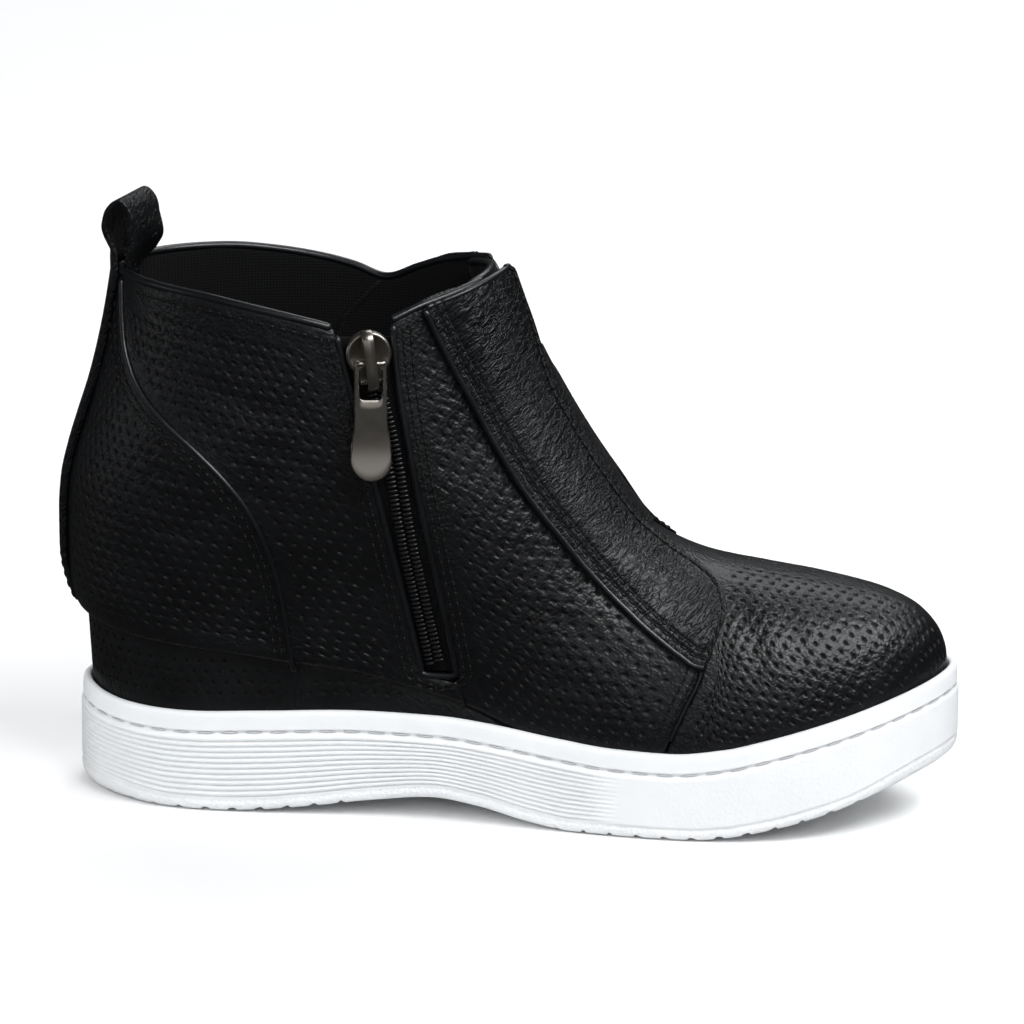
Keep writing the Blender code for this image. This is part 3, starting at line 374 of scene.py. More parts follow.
# %% Finishes: leather
def leather(name, colour, rough, cell, grain, gloss, coat, strokes=0.0, slant=40.0):
    """Black leather: pebbles of a cell size in millimetres, pores between them, and wrinkles if asked."""
    made, tree, shader, place = new_finish(name, colour, rough)
    warp = add(tree, "ShaderNodeTexNoise", {"Vector": place, "Scale": 300.0, "Detail": 2.0})
    moved = add(tree, "ShaderNodeVectorMath", {0: warp.outputs["Color"], 1: (0.0014, 0.0014, 0.0014)},
                operation="MULTIPLY")
    bent = add(tree, "ShaderNodeVectorMath", {0: place, 1: moved.outputs[0]}, operation="ADD").outputs[0]
    pebble = add(tree, "ShaderNodeTexVoronoi", {"Vector": bent, "Scale": 1000.0 / cell, "Smoothness": 0.3},
                 feature="SMOOTH_F1")
    pores = noise(tree, place, 2600.0, 3.0)
    patches = noise(tree, place, 55.0, 3.0)
    folds = noise(tree, bent, 260.0)
    raised = spread(tree, pebble.outputs["Distance"], 0.0, 0.75, 1.0, 0.0)
    normal = bump(tree, folds, 0.00045 * grain, 0.8)
    normal = bump(tree, raised, 0.00022 * grain, 0.8, normal)
    normal = bump(tree, pores, 0.00008, 0.5, normal)
    if strokes:
        laid = add(tree, "ShaderNodeMapping", {"Vector": place, "Rotation": (0.0, math.radians(slant), 0.0)})
        drawn = add(tree, "ShaderNodeMapping", {"Vector": laid.outputs[0], "Scale": (0.17, 0.5, 1.0)})
        lines = noise(tree, drawn.outputs[0], 520.0, 3.0, 0.35)
        off = add(tree, "ShaderNodeMath", {0: lines, 1: 0.5}, operation="SUBTRACT")
        away = add(tree, "ShaderNodeMath", {0: off.outputs[0]}, operation="ABSOLUTE")
        groove_line = spread(tree, away.outputs[0], 0.0, 0.055, 0.0, 1.0)
        normal = bump(tree, lines, 0.0009 * strokes, 1.0, normal)
        normal = bump(tree, groove_line, 0.00016 * strokes, 1.0, normal)
    tree.links.new(normal, shader.inputs["Normal"])
    shine = spread(tree, patches, 0.3, 0.7, rough - 0.05, rough + 0.07)
    # Pit faces get painted shade: near-black for the depth of a hole through the leather, and rougher.
    pit = add(tree, "ShaderNodeAttribute", {}, attribute_name="pit").outputs["Fac"]
    tone = mixed(tree, spread(tree, patches, 0.35, 0.65, 0.0, 1.0), colour,
                 tuple(c * 1.35 for c in colour))
    tree.links.new(mixed(tree, pit, tone, (0.0008, 0.0008, 0.0009)), shader.inputs["Base Color"])
    rougher = add(tree, "ShaderNodeMath", {0: pit, 1: 0.35}, operation="MULTIPLY_ADD")
    tree.links.new(shine, rougher.inputs[2])
    tree.links.new(rougher.outputs[0], shader.inputs["Roughness"])
    shader.inputs["Specular IOR Level"].default_value = gloss
    shader.inputs["Coat Weight"].default_value = coat
    shader.inputs["Coat Roughness"].default_value = 0.3
    return made


grained = leather("black_grained_leather", (0.0012, 0.0014, 0.0019), 0.38, 1.15, 0.72, 0.48, 0.03,
                  strokes=0.20, slant=-32.0)
creased = leather("black_smooth_leather", (0.0011, 0.0013, 0.0018), 0.36, 1.1, 0.4, 0.36, 0.04, strokes=1.0)
edging = leather("black_folded_edge", (0.0018, 0.0021, 0.0028), 0.32, 1.1, 0.15, 0.55, 0.06)
covering = leather("black_wedge_cover", (0.0022, 0.0024, 0.0028), 0.44, 1.2, 0.8, 0.32, 0.0)
print("leathers", [m.name for m in (grained, creased, edging, covering)])

# %% [markdown]
# The rest of the shoe is white rubber, black lining cloth, zip tape, nylon coil, sewing thread and dark
# plated metal. Each is a Principled shader with its own small structure: a moulded skin, a weave, a
# brushed grain. Constant values go straight on the shader's sockets.

# %% Finishes: rubber, cloth, thread and metal
def rubber(name, colour, light):
    """White rubber with a faint cloud of two tones; its band attribute brings in a moulded texture."""
    made, tree, shader, place = new_finish(name, colour, 0.42)
    fine = noise(tree, place, 1500.0, 3.0)
    wave = noise(tree, place, 70.0)
    cross = add(tree, "ShaderNodeTexVoronoi", {"Vector": place, "Scale": 900.0})
    band = add(tree, "ShaderNodeAttribute", {}, attribute_name="band").outputs["Fac"]
    texture = add(tree, "ShaderNodeMath", {0: cross.outputs["Distance"], 1: band}, operation="MULTIPLY")
    normal = bump(tree, wave, 0.0001, 0.2)
    normal = bump(tree, fine, 0.00005, 0.5, normal)
    normal = bump(tree, texture.outputs[0], 0.0004, 0.6, normal)
    tree.links.new(normal, shader.inputs["Normal"])
    tone = mixed(tree, spread(tree, wave, 0.3, 0.7, 0.0, 1.0), colour, light)
    tree.links.new(tone, shader.inputs["Base Color"])
    tree.links.new(spread(tree, fine, 0.3, 0.7, 0.38, 0.5), shader.inputs["Roughness"])
    return made


def cloth(name, colour, pitch, rough=0.88):
    """Woven cloth with a thread pitch in millimetres."""
    made, tree, shader, place = new_finish(name, colour, rough)
    wefts = []
    for direction in ("X", "Z"):
        wave = add(tree, "ShaderNodeTexWave", {"Vector": place, "Scale": 310.0 / pitch, "Distortion": 0.6},
                   bands_direction=direction)
        wefts.append(wave.outputs["Fac"])
    woven = add(tree, "ShaderNodeMath", {0: wefts[0], 1: wefts[1]}, operation="MULTIPLY")
    fuzz = noise(tree, place, 900.0, 4.0)
    normal = bump(tree, woven.outputs[0], 0.00022, 0.7)
    normal = bump(tree, fuzz, 0.00018, 0.5, normal)
    tree.links.new(normal, shader.inputs["Normal"])
    tone = mixed(tree, woven.outputs[0], tuple(c * 0.6 for c in colour), tuple(c * 1.5 for c in colour))
    tree.links.new(tone, shader.inputs["Base Color"])
    shader.inputs["Sheen Weight"].default_value = 0.03
    shader.inputs["Specular IOR Level"].default_value = 0.2
    shader.inputs["Sheen Roughness"].default_value = 0.5
    return made


def thread(name, colour, rough, gloss=0.5):
    """Twisted thread or nylon."""
    made, tree, shader, place = new_finish(name, colour, rough)
    shader.inputs["Specular IOR Level"].default_value = gloss
    twist = noise(tree, place, 2400.0)
    tree.links.new(bump(tree, twist, 0.00012, 0.6), shader.inputs["Normal"])
    tone = mixed(tree, twist, tuple(c * 0.8 for c in colour), tuple(c * 1.2 for c in colour))
    tree.links.new(tone, shader.inputs["Base Color"])
    return made


def plated(name, colour, rough):
    """Dark plated metal, faintly brushed along the pull tab."""
    made, tree, shader, place = new_finish(name, colour, rough, 1.0)
    drawn = add(tree, "ShaderNodeMapping", {"Vector": place, "Scale": (1.0, 1.0, 0.08)}).outputs["Vector"]
    brushed = noise(tree, drawn, 4200.0)
    cloud = noise(tree, place, 300.0)
    tree.links.new(bump(tree, brushed, 0.00002, 0.25), shader.inputs["Normal"])
    shine = spread(tree, cloud, 0.3, 0.7, rough - 0.02, rough + 0.03)
    tree.links.new(shine, shader.inputs["Roughness"])
    return made


white = rubber("white_rubber", (0.67, 0.68, 0.69), (0.70, 0.705, 0.71))
lining = cloth("black_lining", (0.0024, 0.0025, 0.0028), 0.9)
tape_cloth = cloth("black_zip_tape", (0.0030, 0.0031, 0.0033), 0.7)
coil_black = thread("black_zip_coil", (0.0045, 0.0046, 0.0050), 0.28)
thread_black = thread("black_thread", (0.0030, 0.0031, 0.0033), 0.5, 0.3)
# Needle dents: dark matte beads whose colour paints the shade in each needle dent.
needle_shade_finish = thread("painted_needle_shade", (0.0008, 0.0008, 0.0008), 0.9)
# The sole thread's grey colour is painted shade, for the groove that the stitches lie in.
sole_thread_shade = thread("sole_thread", (0.46, 0.46, 0.47), 0.6)
gunmetal = plated("gunmetal", (0.308, 0.282, 0.252), 0.30)
print("finishes", len(bpy.data.materials))

# %% [markdown]
# Every piece ends the same way: a plain mesh at the origin in metres, riding on a body of the frame. The
# modifiers are settled into the mesh before the frame hears of it. These helpers do that, and they build
# the shapes that many pieces share: a sheet from a grid of points, a round cord along a path, and the faces
# between rings of points.

# %% Helpers for pieces
made_pieces = []


def in_scene(name, data):
    made = bpy.data.objects.new(name, data)
    bpy.context.scene.collection.objects.link(made)
    return made


def mesh_piece(name, points, faces, *materials):
    mesh = bpy.data.meshes.new(name)
    place = (np.array(points, float) + SHIFT) * MM
    mesh.from_pydata(place.tolist(), [], [list(map(int, f)) for f in faces])
    for material in materials:
        mesh.materials.append(material)
    mesh.shade_smooth()
    return in_scene(name, mesh)


def settle(piece):
    """The modifiers' result becomes the piece's own plain mesh."""
    bpy.context.view_layer.update()
    graph = bpy.context.evaluated_depsgraph_get()
    plain = bpy.data.meshes.new_from_object(piece.evaluated_get(graph), preserve_all_data_layers=True,
                                            depsgraph=graph)
    piece.modifiers.clear()
    piece.data = plain
    return piece


def finish_piece(piece, slot, *nodes, body="shoe"):
    """Settles the piece, hangs it on its body and hides the imported nodes that it replaces."""
    settle(piece)
    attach(piece, body)
    if nodes:
        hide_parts(*nodes)
    triangles = sum(len(p.vertices) - 2 for p in piece.data.polygons)
    made_pieces.append((piece.name, triangles))
    print(piece.name, triangles, "triangles")
    return piece


print("helpers for finished pieces ready")

# %% Helpers for sheets and cords
INSIDE = np.array([-55.0, 0.0, 70.0])
CORD_TIP = 0.35


def grid_faces(rows):
    """Faces of a grid of points (row, column, xyz) that face away from the inside of the upper."""
    high, wide = rows.shape[:2]
    facing = np.cross(np.diff(rows[:, :-1], axis=0), np.diff(rows[:-1], axis=1))
    flip = np.sum(facing * (rows[:-1, :-1] - INSIDE)) < 0
    faces = []
    for i in range(high - 1):
        for j in range(wide - 1):
            face = [i * wide + j, (i + 1) * wide + j, (i + 1) * wide + j + 1, i * wide + j + 1]
            faces.append(face[::-1] if flip else face)
    return faces


def normals_of(rows):
    """Unit normals of a grid of points, away from the inside of the upper."""
    n = unit(np.cross(np.gradient(rows, axis=0), np.gradient(rows, axis=1)))
    return n if np.sum((rows - INSIDE) * n) > 0 else -n


def wall(piece, thickness, offset=-1.0, inner=0):
    """Grows a sheet's thickness; the inner side takes the material that many slots further on."""
    made = piece.modifiers.new("wall", "SOLIDIFY")
    made.thickness = thickness * MM
    made.offset = offset
    made.use_even_offset = False
    made.use_quality_normals = True
    made.material_offset = inner


def rounded(piece, width, segments=3):
    made = piece.modifiers.new("rounded edge", "BEVEL")
    made.width = width * MM
    made.segments = segments
    made.limit_method = "ANGLE"
    made.angle_limit = math.radians(45)


def sheet(name, rows, thickness, material, offset=-1.0, edge=0.4):
    """A sheet of leather or cloth with rounded edges."""
    piece = mesh_piece(name, rows.reshape(-1, 3), grid_faces(rows), material)
    wall(piece, thickness, offset)
    rounded(piece, edge)
    return piece


def along(path, pitch, start=0.0):
    """Points at even steps along a path, as places in its list."""
    run = run_of(path)
    count = max(int(round((run[-1] - 2 * start) / pitch)), 1)
    return np.interp(np.linspace(start, run[-1] - start, count + 1), run, np.arange(len(path)))


def at_place(values, place):
    """Values of a list of points at places between its entries."""
    i = np.clip(place.astype(int), 0, len(values) - 2)
    t = (place - i)[:, None]
    return values[i] * (1 - t) + values[i + 1] * t


def ring_faces(rings, around, closed=False):
    """Faces between rings of points that follow one another; closed joins the last ring to the first."""
    faces = []
    for k in range(rings if closed else rings - 1):
        n = (k + 1) % rings
        for i in range(around):
            j = (i + 1) % around
            faces.append([k * around + i, k * around + j, n * around + j, n * around + i])
    return faces


def cap_faces(rings, around):
    """The two end faces of a row of rings."""
    return [list(range(around))[::-1], [(rings - 1) * around + i for i in range(around)]]


def cord_mesh(path, radius, sides=10):
    """Points and faces of a round cord along a path, narrowed at its two ends."""
    path = np.array(path, float)
    ahead = unit(np.gradient(path, axis=0))
    side = np.cross(ahead[0], (0.3, 0.2, 0.93))
    rings = []
    wide = np.full(len(path), float(radius))
    wide[0] = wide[-1] = radius * CORD_TIP
    turn = np.linspace(0, 2 * math.pi, sides, endpoint=False)
    for spot, tangent, r in zip(path, ahead, wide):
        side = unit(side - tangent * side.dot(tangent))
        up = np.cross(tangent, side)
        rings.append(spot + r * (np.cos(turn)[:, None] * side + np.sin(turn)[:, None] * up))
    return np.vstack(rings), ring_faces(len(path), sides) + cap_faces(len(path), sides)


def joined(parts):
    """Several (points, faces) as one."""
    points, faces, base = [], [], 0
    for p, f in parts:
        points.append(np.array(p, float))
        faces += [[base + i for i in face] for face in f]
        base += len(p)
    return np.vstack(points), faces


print("helpers for sheets and cords ready")

# %% [markdown]
# The camera comes early, so that every piece can be looked at as it is made. A product picture like this is
# taken with a long lens from about two metres, a little above the shoe and turned a few degrees to the toe.
# The angles were found by fitting the sole's outline and the collar, and the frame is closed in on the shoe.

# %% Camera
YAW, ELEVATION, DISTANCE = math.radians(7.61), math.radians(16.4), 2085.76
LOOK_AT = np.array([-67.63, 0.0, 46.51])
FOCAL_PIXELS, FRAME_PIXELS, SENSOR = 5097.5, 760.0, 36.0
AIM_RIGHT, AIM_UP = 160 / FOCAL_PIXELS, 90 / FOCAL_PIXELS
right = np.array([math.cos(YAW), math.sin(YAW), 0.0])
back = np.array([math.sin(YAW) * math.cos(ELEVATION), -math.cos(YAW) * math.cos(ELEVATION),
                 math.sin(ELEVATION)])
up = np.cross(back, right)
stand = LOOK_AT + back * DISTANCE
aim = unit(-back + right * AIM_RIGHT + up * AIM_UP)
camera_data = bpy.data.cameras.new("studio_camera")
camera_data.sensor_width = SENSOR
camera_data.lens = FOCAL_PIXELS * SENSOR / FRAME_PIXELS
camera_data.clip_start, camera_data.clip_end = 0.1, 50.0
camera = in_scene("studio_camera", camera_data)
camera.location = Vector((stand + SHIFT) * MM)
level_right = unit(right - aim * right.dot(aim))
turned = np.stack([level_right, np.cross(-aim, level_right), -aim], axis=1)
camera.rotation_mode = "QUATERNION"
camera.rotation_quaternion = Matrix(turned.tolist()).to_quaternion()
bpy.context.scene.camera = camera
print("camera", tuple(round(c, 3) for c in camera.location), "lens", round(camera_data.lens, 1), "mm")

# %% [markdown]
# Black leather shows mostly what it reflects, so a few large soft lamps draw its lines of light: three boxes
# above the shoe and two panels, in front and at the heel. White rubber and the backdrop need much more light
# than the leather may mirror, so three fills light them and leave no glare. The floor is a plain pale disc,
# wide enough to reach past every edge of the picture.

# %% Studio
def lamp(name, place, aim_at, size, power, glare=True):
    data = bpy.data.lights.new(name, "AREA")
    data.shape = "RECTANGLE"
    data.size, data.size_y = size
    data.energy = power
    data.color = (0.97, 0.985, 1.0)
    made = in_scene(name, data)
    made.location = place
    made.rotation_mode = "QUATERNION"
    made.rotation_quaternion = (Vector(aim_at) - Vector(place)).to_track_quat("-Z", "Y")
    made.visible_glossy = glare


lamp("key_box", (0.78, -0.26, 0.92), (0.02, 0.0, 0.05), (0.38, 0.5), 6.2)
lamp("overhead_box", (0.42, -0.62, 0.98), (0.06, 0.0, 0.05), (0.5, 0.4), 7.2)
lamp("back_box", (0.25, 0.7, 0.95), (0.04, 0.0, 0.05), (0.9, 0.5), 4.4)
lamp("front_panel", (-0.1, -1.8, 0.62), (0.0, 0.0, 0.05), (2.2, 0.6), 3.0)
lamp("heel_panel", (-1.6, -0.45, 0.32), (-0.1, 0.0, 0.09), (0.5, 0.45), 1.1)
lamp("front_fill", (-0.25, -1.5, 1.0), (0.0, 0.0, 0.03), (1.6, 0.8), 12.8, glare=False)
lamp("heel_fill", (-1.2, -0.6, 0.7), (-0.05, 0.0, 0.04), (0.6, 0.8), 7.0, glare=False)
lamp("backdrop_wash", (0.0, 2.2, 2.0), (0.0, 2.0, 0.0), (3.0, 1.5), 64.0, glare=False)
world = bpy.data.worlds.new("white_room")
bpy.context.scene.world = world
world.use_nodes = True
world.node_tree.nodes["Background"].inputs["Color"].default_value = (1.0, 1.0, 1.0, 1.0)
world.node_tree.nodes["Background"].inputs["Strength"].default_value = 0.05
bpy.context.scene.view_settings.view_transform = "Standard"
print("lamps", len(bpy.data.lights))

# %% Floor
FLOOR_RADIUS, FLOOR_SIDES, FLOOR_DROP = 5.0, 48, 0.0002
floor_finish, floor_tree, floor_shader, floor_place = new_finish("pale_floor", (0.90, 0.90, 0.90), 0.7)
paper = mixed(floor_tree, noise(floor_tree, floor_place, 40.0), (0.89, 0.89, 0.89), (0.91, 0.91, 0.91))
floor_tree.links.new(paper, floor_shader.inputs["Base Color"])
turns = np.linspace(0, 2 * math.pi, FLOOR_SIDES, endpoint=False)
floor_points = [(FLOOR_RADIUS * math.cos(t), FLOOR_RADIUS * math.sin(t), -FLOOR_DROP) for t in turns]
floor_mesh = bpy.data.meshes.new("floor")
floor_mesh.from_pydata(floor_points, [], [list(range(FLOOR_SIDES))])
floor_mesh.materials.append(floor_finish)
floor_mesh.shade_smooth()
floor = in_scene("floor", floor_mesh)
floor.visible_glossy = False
print("floor with", len(floor_mesh.vertices), "points")

# %% [markdown]
# ## The cup sole
#
# A cup sole is moulded in one piece: a smooth bead at the rim, a groove with a line of stitches, fine ribs
# along the heel and waist, a finely pebbled forefoot, and a textured band above the ground. It could be cut
# with Booleans, but one profile swept round the outline keeps every line running true, so the side is built
# as rings from the cup floor over the rim and in under the edge.

# %% Stations round the sole
BEAD_HEIGHT, STITCH_GROOVE, RIB_COUNT, RIB_DEPTH, RIB_END, RIB_FADE = 5.6, 1.6, 11, 0.85, 36.0, 14.0
BAND_HEIGHT, CORNER_SIDE, CORNER_END = 3.4, 2.2, 5.5
TREAD_PITCH, TREAD_WIDTH, TREAD_DEPTH = 8.2, 1.5, 1.2
TREAD_PHASE, TREAD_HEEL, TREAD_BALL, TREAD_TOE, TREAD_FADE = 24.0, -42.0, 12.0, 112.0, 6.0
SOLE_STATIONS, COLUMNS, FOREFOOT_TEXTURE = 300, 14, 0.45


def paired_stations(edges, stations):
    """Plan points of a closed curve, heel first, with the same x on both sides."""
    inner = edges[0]
    run = run_of(inner)
    xs = np.interp(np.linspace(0, run[-1], stations + 1), run, inner[:, 0])
    near = [(x, edge_y(edges, x, -1)) for x in xs[1:-1]]
    far = [(x, edge_y(edges, x, 1)) for x in xs[-2:0:-1]]
    return np.array([inner[0]] + near + [inner[-1]] + far)


def tread(x):
    """Height of the cut channels above the tread, at a place along the shoe."""
    channel = np.abs((x - TREAD_PHASE + TREAD_PITCH / 2) % TREAD_PITCH - TREAD_PITCH / 2)
    cut = 1 - smooth((channel - TREAD_WIDTH / 2 + 0.35) / 0.7)
    heel = smooth((TREAD_HEEL - x) / TREAD_FADE)
    ball = smooth((x - TREAD_BALL) / TREAD_FADE) * (1 - smooth((x - TREAD_TOE) / TREAD_FADE))
    return TREAD_DEPTH * cut * (heel + ball)


plan = paired_stations(outline_edges, SOLE_STATIONS)
sole_x = plan[:, 0]
inward_dir = inward_of(plan)
low_z, high_z = sole_bottom(sole_x), sole_top(sole_x)
rib_fade = 1 - smooth((sole_x - RIB_END + RIB_FADE) / RIB_FADE)
forefoot = FOREFOOT_TEXTURE * smooth((sole_x - RIB_END - 6) / 8)
corner = CORNER_SIDE + (CORNER_END - CORNER_SIDE) * smooth((np.abs(sole_x) - 95) / 35)
band_top = np.maximum(BAND_HEIGHT, corner * 0.95 + 0.9)
print("sole stations", len(plan))

# %% Rings of the sole's side
sole_rings, band_flags = [], []


def ring(depth, z=None, band=0.0):
    """Adds a ring at a depth inside the outline and a height, or on the cup floor if none is given."""
    place = plan + inward_dir * np.broadcast_to(depth, sole_x.shape)[:, None]
    height = cup_floor(place[:, 0]) if z is None else np.maximum(z, low_z + tread(sole_x))
    sole_rings.append(np.column_stack([place, height]))
    band_flags.append(np.broadcast_to(band, sole_x.shape))


ring(RIM_WIDTH)
ring(RIM_WIDTH - 0.05, high_z - 1.2)
ring(RIM_WIDTH - 0.15, high_z - 0.5)
ring(RIM_WIDTH - 0.6, high_z - 0.05)
ring(2.1, high_z)
for turn in np.linspace(0.25, 1, 6) * math.pi / 2:
    ring(2.1 - 1.4 * math.sin(turn), high_z - 1.9 * (1 - math.cos(turn)))
ring(0.55, high_z - 3.6)
ring(0.6, high_z - BEAD_HEIGHT + 0.35)
for t in np.linspace(0, 1, 7):
    ring(0.55 + 0.75 * math.sin(math.pi * t) ** 1.4, high_z - BEAD_HEIGHT - STITCH_GROOVE * t)
ring(0.35, high_z - BEAD_HEIGHT - STITCH_GROOVE - 0.3)
rib_top = high_z - BEAD_HEIGHT - STITCH_GROOVE - 0.5
rib_foot = low_z + band_top + 0.9
for k in range(RIB_COUNT):
    for t in (0.12, 0.4, 0.66, 0.86, 0.93):
        hollow = smooth((t - 0.55) / 0.35) if t < 0.9 else 0.75
        ring(0.05 + RIB_DEPTH * hollow * rib_fade, rib_top + (rib_foot - rib_top) * (k + t) / RIB_COUNT,
             forefoot)
ring(0.55, low_z + band_top + 0.45)
ring(0.6, low_z + band_top + 0.15)
ring(0.15, low_z + band_top - 0.15, 1.0)
ring(0.1, low_z + np.maximum(band_top * 0.5, corner * 0.95), 1.0)
for turn in np.linspace(0, 1, 6) * math.pi / 2:
    ring(0.1 + corner * (1 - np.cos(turn)), low_z + corner * 0.93 * (1 - np.sin(turn)), 1.0 - smooth(turn))
print("rings", len(sole_rings))

# %% Cup sole, closed above and below
around = len(plan)
sole_points = list(np.vstack(sole_rings))
sole_faces = ring_faces(len(sole_rings), around)
half = around // 2
for k, flip in ((0, False), (len(sole_rings) - 1, True)):
    base = len(sole_points)
    grid = {}
    for i in range(half + 1):
        a, b = k * around + i, k * around + (around - i) % around
        for c in range(COLUMNS + 1):
            if c == 0 or i in (0, half):
                grid[i, c] = a
            elif c == COLUMNS:
                grid[i, c] = b
            else:
                t = c / COLUMNS
                spot = sole_points[a] * (1 - t) + sole_points[b] * t
                grid[i, c] = len(sole_points)
                sole_points.append(spot)
    for i in range(half):
        for c in range(COLUMNS):
            face = list(dict.fromkeys([grid[i, c], grid[i, c + 1], grid[i + 1, c + 1], grid[i + 1, c]]))
            if len(face) > 2:
                sole_faces.append(face[::-1] if flip else face)
sole = mesh_piece("cup_sole", sole_points, sole_faces, white)
band = sole.data.attributes.new("band", "FLOAT", "POINT")
band_values = np.zeros(len(sole_points))
band_values[: len(sole_rings) * around] = np.concatenate(band_flags)
band.data.foreach_set("value", band_values)
finish_piece(sole, "white_rubber", "cupsole")

# %% [markdown]
# ## Stitches
#
# A row of lockstitch is the same small thread shape over and over, so Geometry Nodes place it: a mesh of
# points carries the direction of the seam and of the surface, and each point receives one stretched bead.
# Modelling every stitch by hand would work, but then no length or thickness could be changed later.

# %% Stitch tree
def new_tree(name, **inputs):
    """A Geometry Nodes tree with named inputs, the sockets that it is given and the node of its result."""
    tree = bpy.data.node_groups.new(name, "GeometryNodeTree")
    for title, kind in {"Geometry": "Geometry", **inputs}.items():
        tree.interface.new_socket(title.replace("_", " "), in_out="INPUT", socket_type="NodeSocket" + kind)
    tree.interface.new_socket("Geometry", in_out="OUTPUT", socket_type="NodeSocketGeometry")
    given = add(tree, "NodeGroupInput", {}).outputs
    return tree, given, add(tree, "NodeGroupOutput", {})


def stitch_tree():
    tree, given, result = new_tree("stitch_row", Length="Float", Width="Float", Height="Float",
                                   Thread="Material")
    bead = add(tree, "GeometryNodeMeshUVSphere", {"Segments": 8, "Rings": 5, "Radius": 0.5})
    size = add(tree, "ShaderNodeCombineXYZ", {"X": given["Length"], "Y": given["Width"],
                                             "Z": given["Height"]})
    shaped = add(tree, "GeometryNodeTransform", {"Geometry": bead.outputs["Mesh"], "Scale": size.outputs[0]})
    soft = add(tree, "GeometryNodeSetShadeSmooth", {"Geometry": shaped.outputs[0]})
    out_dir = add(tree, "GeometryNodeInputNamedAttribute", {"Name": "out"}, data_type="FLOAT_VECTOR")
    run = add(tree, "GeometryNodeInputNamedAttribute", {"Name": "run"}, data_type="FLOAT_VECTOR")
    turn = add(tree, "FunctionNodeAxesToRotation", {0: out_dir.outputs[0], 1: run.outputs[0]},
               primary_axis="Z", secondary_axis="X")
    dots = add(tree, "GeometryNodeMeshToPoints", {"Mesh": given["Geometry"]})
    beads = add(tree, "GeometryNodeInstanceOnPoints", {"Points": dots.outputs[0],
                                                      "Instance": soft.outputs[0],
                                                      "Rotation": turn.outputs[0]})
    real = add(tree, "GeometryNodeRealizeInstances", {"Geometry": beads.outputs[0]})
    sewn = add(tree, "GeometryNodeSetMaterial", {"Geometry": real.outputs[0], "Material": given["Thread"]})
    tree.links.new(sewn.outputs[0], result.inputs["Geometry"])
    return tree


def set_inputs(modifier, values):
    """A node tree's inputs on a modifier, by each socket's own identifier."""
    for item in modifier.node_group.interface.items_tree:
        if item.item_type == "SOCKET" and item.in_out == "INPUT" and item.name in values:
            modifier[item.identifier] = values[item.name]


stitches = stitch_tree()
print("stitch tree with", len(stitches.nodes), "nodes")


# %% Sewing a row
def sew(name, spots, runs, outs, length, width, height, material):
    """One object with a bead at every spot, along its run and standing out from its surface."""
    mesh = bpy.data.meshes.new(name)
    mesh.from_pydata(((np.array(spots) + SHIFT) * MM).tolist(), [], [])
    for key, values in (("run", runs), ("out", outs)):
        held = mesh.attributes.new(key, "FLOAT_VECTOR", "POINT")
        held.data.foreach_set("vector", np.array(values, float).ravel())
    piece = in_scene(name, mesh)
    row = piece.modifiers.new("stitches", "NODES")
    row.node_group = stitches
    set_inputs(row, {"Length": length * MM, "Width": width * MM, "Height": height * MM, "Thread": material})
    return piece


print("sewing ready")

# %% [markdown]
# The first row goes round the sole, where a long stitch lies in the groove under the bead and holds the sole
# to the upper. Its grey colour is painted shade for the groove that it lies in. A painted dashed line would
# look flat from close by, so the beads lie in the real groove.

# %% Stitches round the sole
SOLE_STITCH = 7.4
groove = inset(plan, 0.95)
groove = np.column_stack([groove, high_z - BEAD_HEIGHT - STITCH_GROOVE * 0.5])
groove_out = np.column_stack([-inward_dir, np.zeros(around)])
loop_path = np.vstack([groove, groove[:1]])
loop_out = np.vstack([groove_out, groove_out[:1]])
spots = along(loop_path, SOLE_STITCH)[:-1]
thread_run = at_place(np.gradient(loop_path, axis=0), spots)
finish_piece(sew("sole_stitches", at_place(loop_path, spots), thread_run, at_place(loop_out, spots),
                 5.6, 0.6, 0.6, sole_thread_shade), "white_rubber")

# %% [markdown]
# ## Perforated leather
#
# The upper's leather is punched all over with small holes in a staggered grid. Punching with Booleans would
# be slow and would leave ragged faces. Here each panel is laid out as a honeycomb of leather tiles instead,
# one for each hole, and a Geometry Nodes tree sinks a pit in the middle of every tile that is marked.

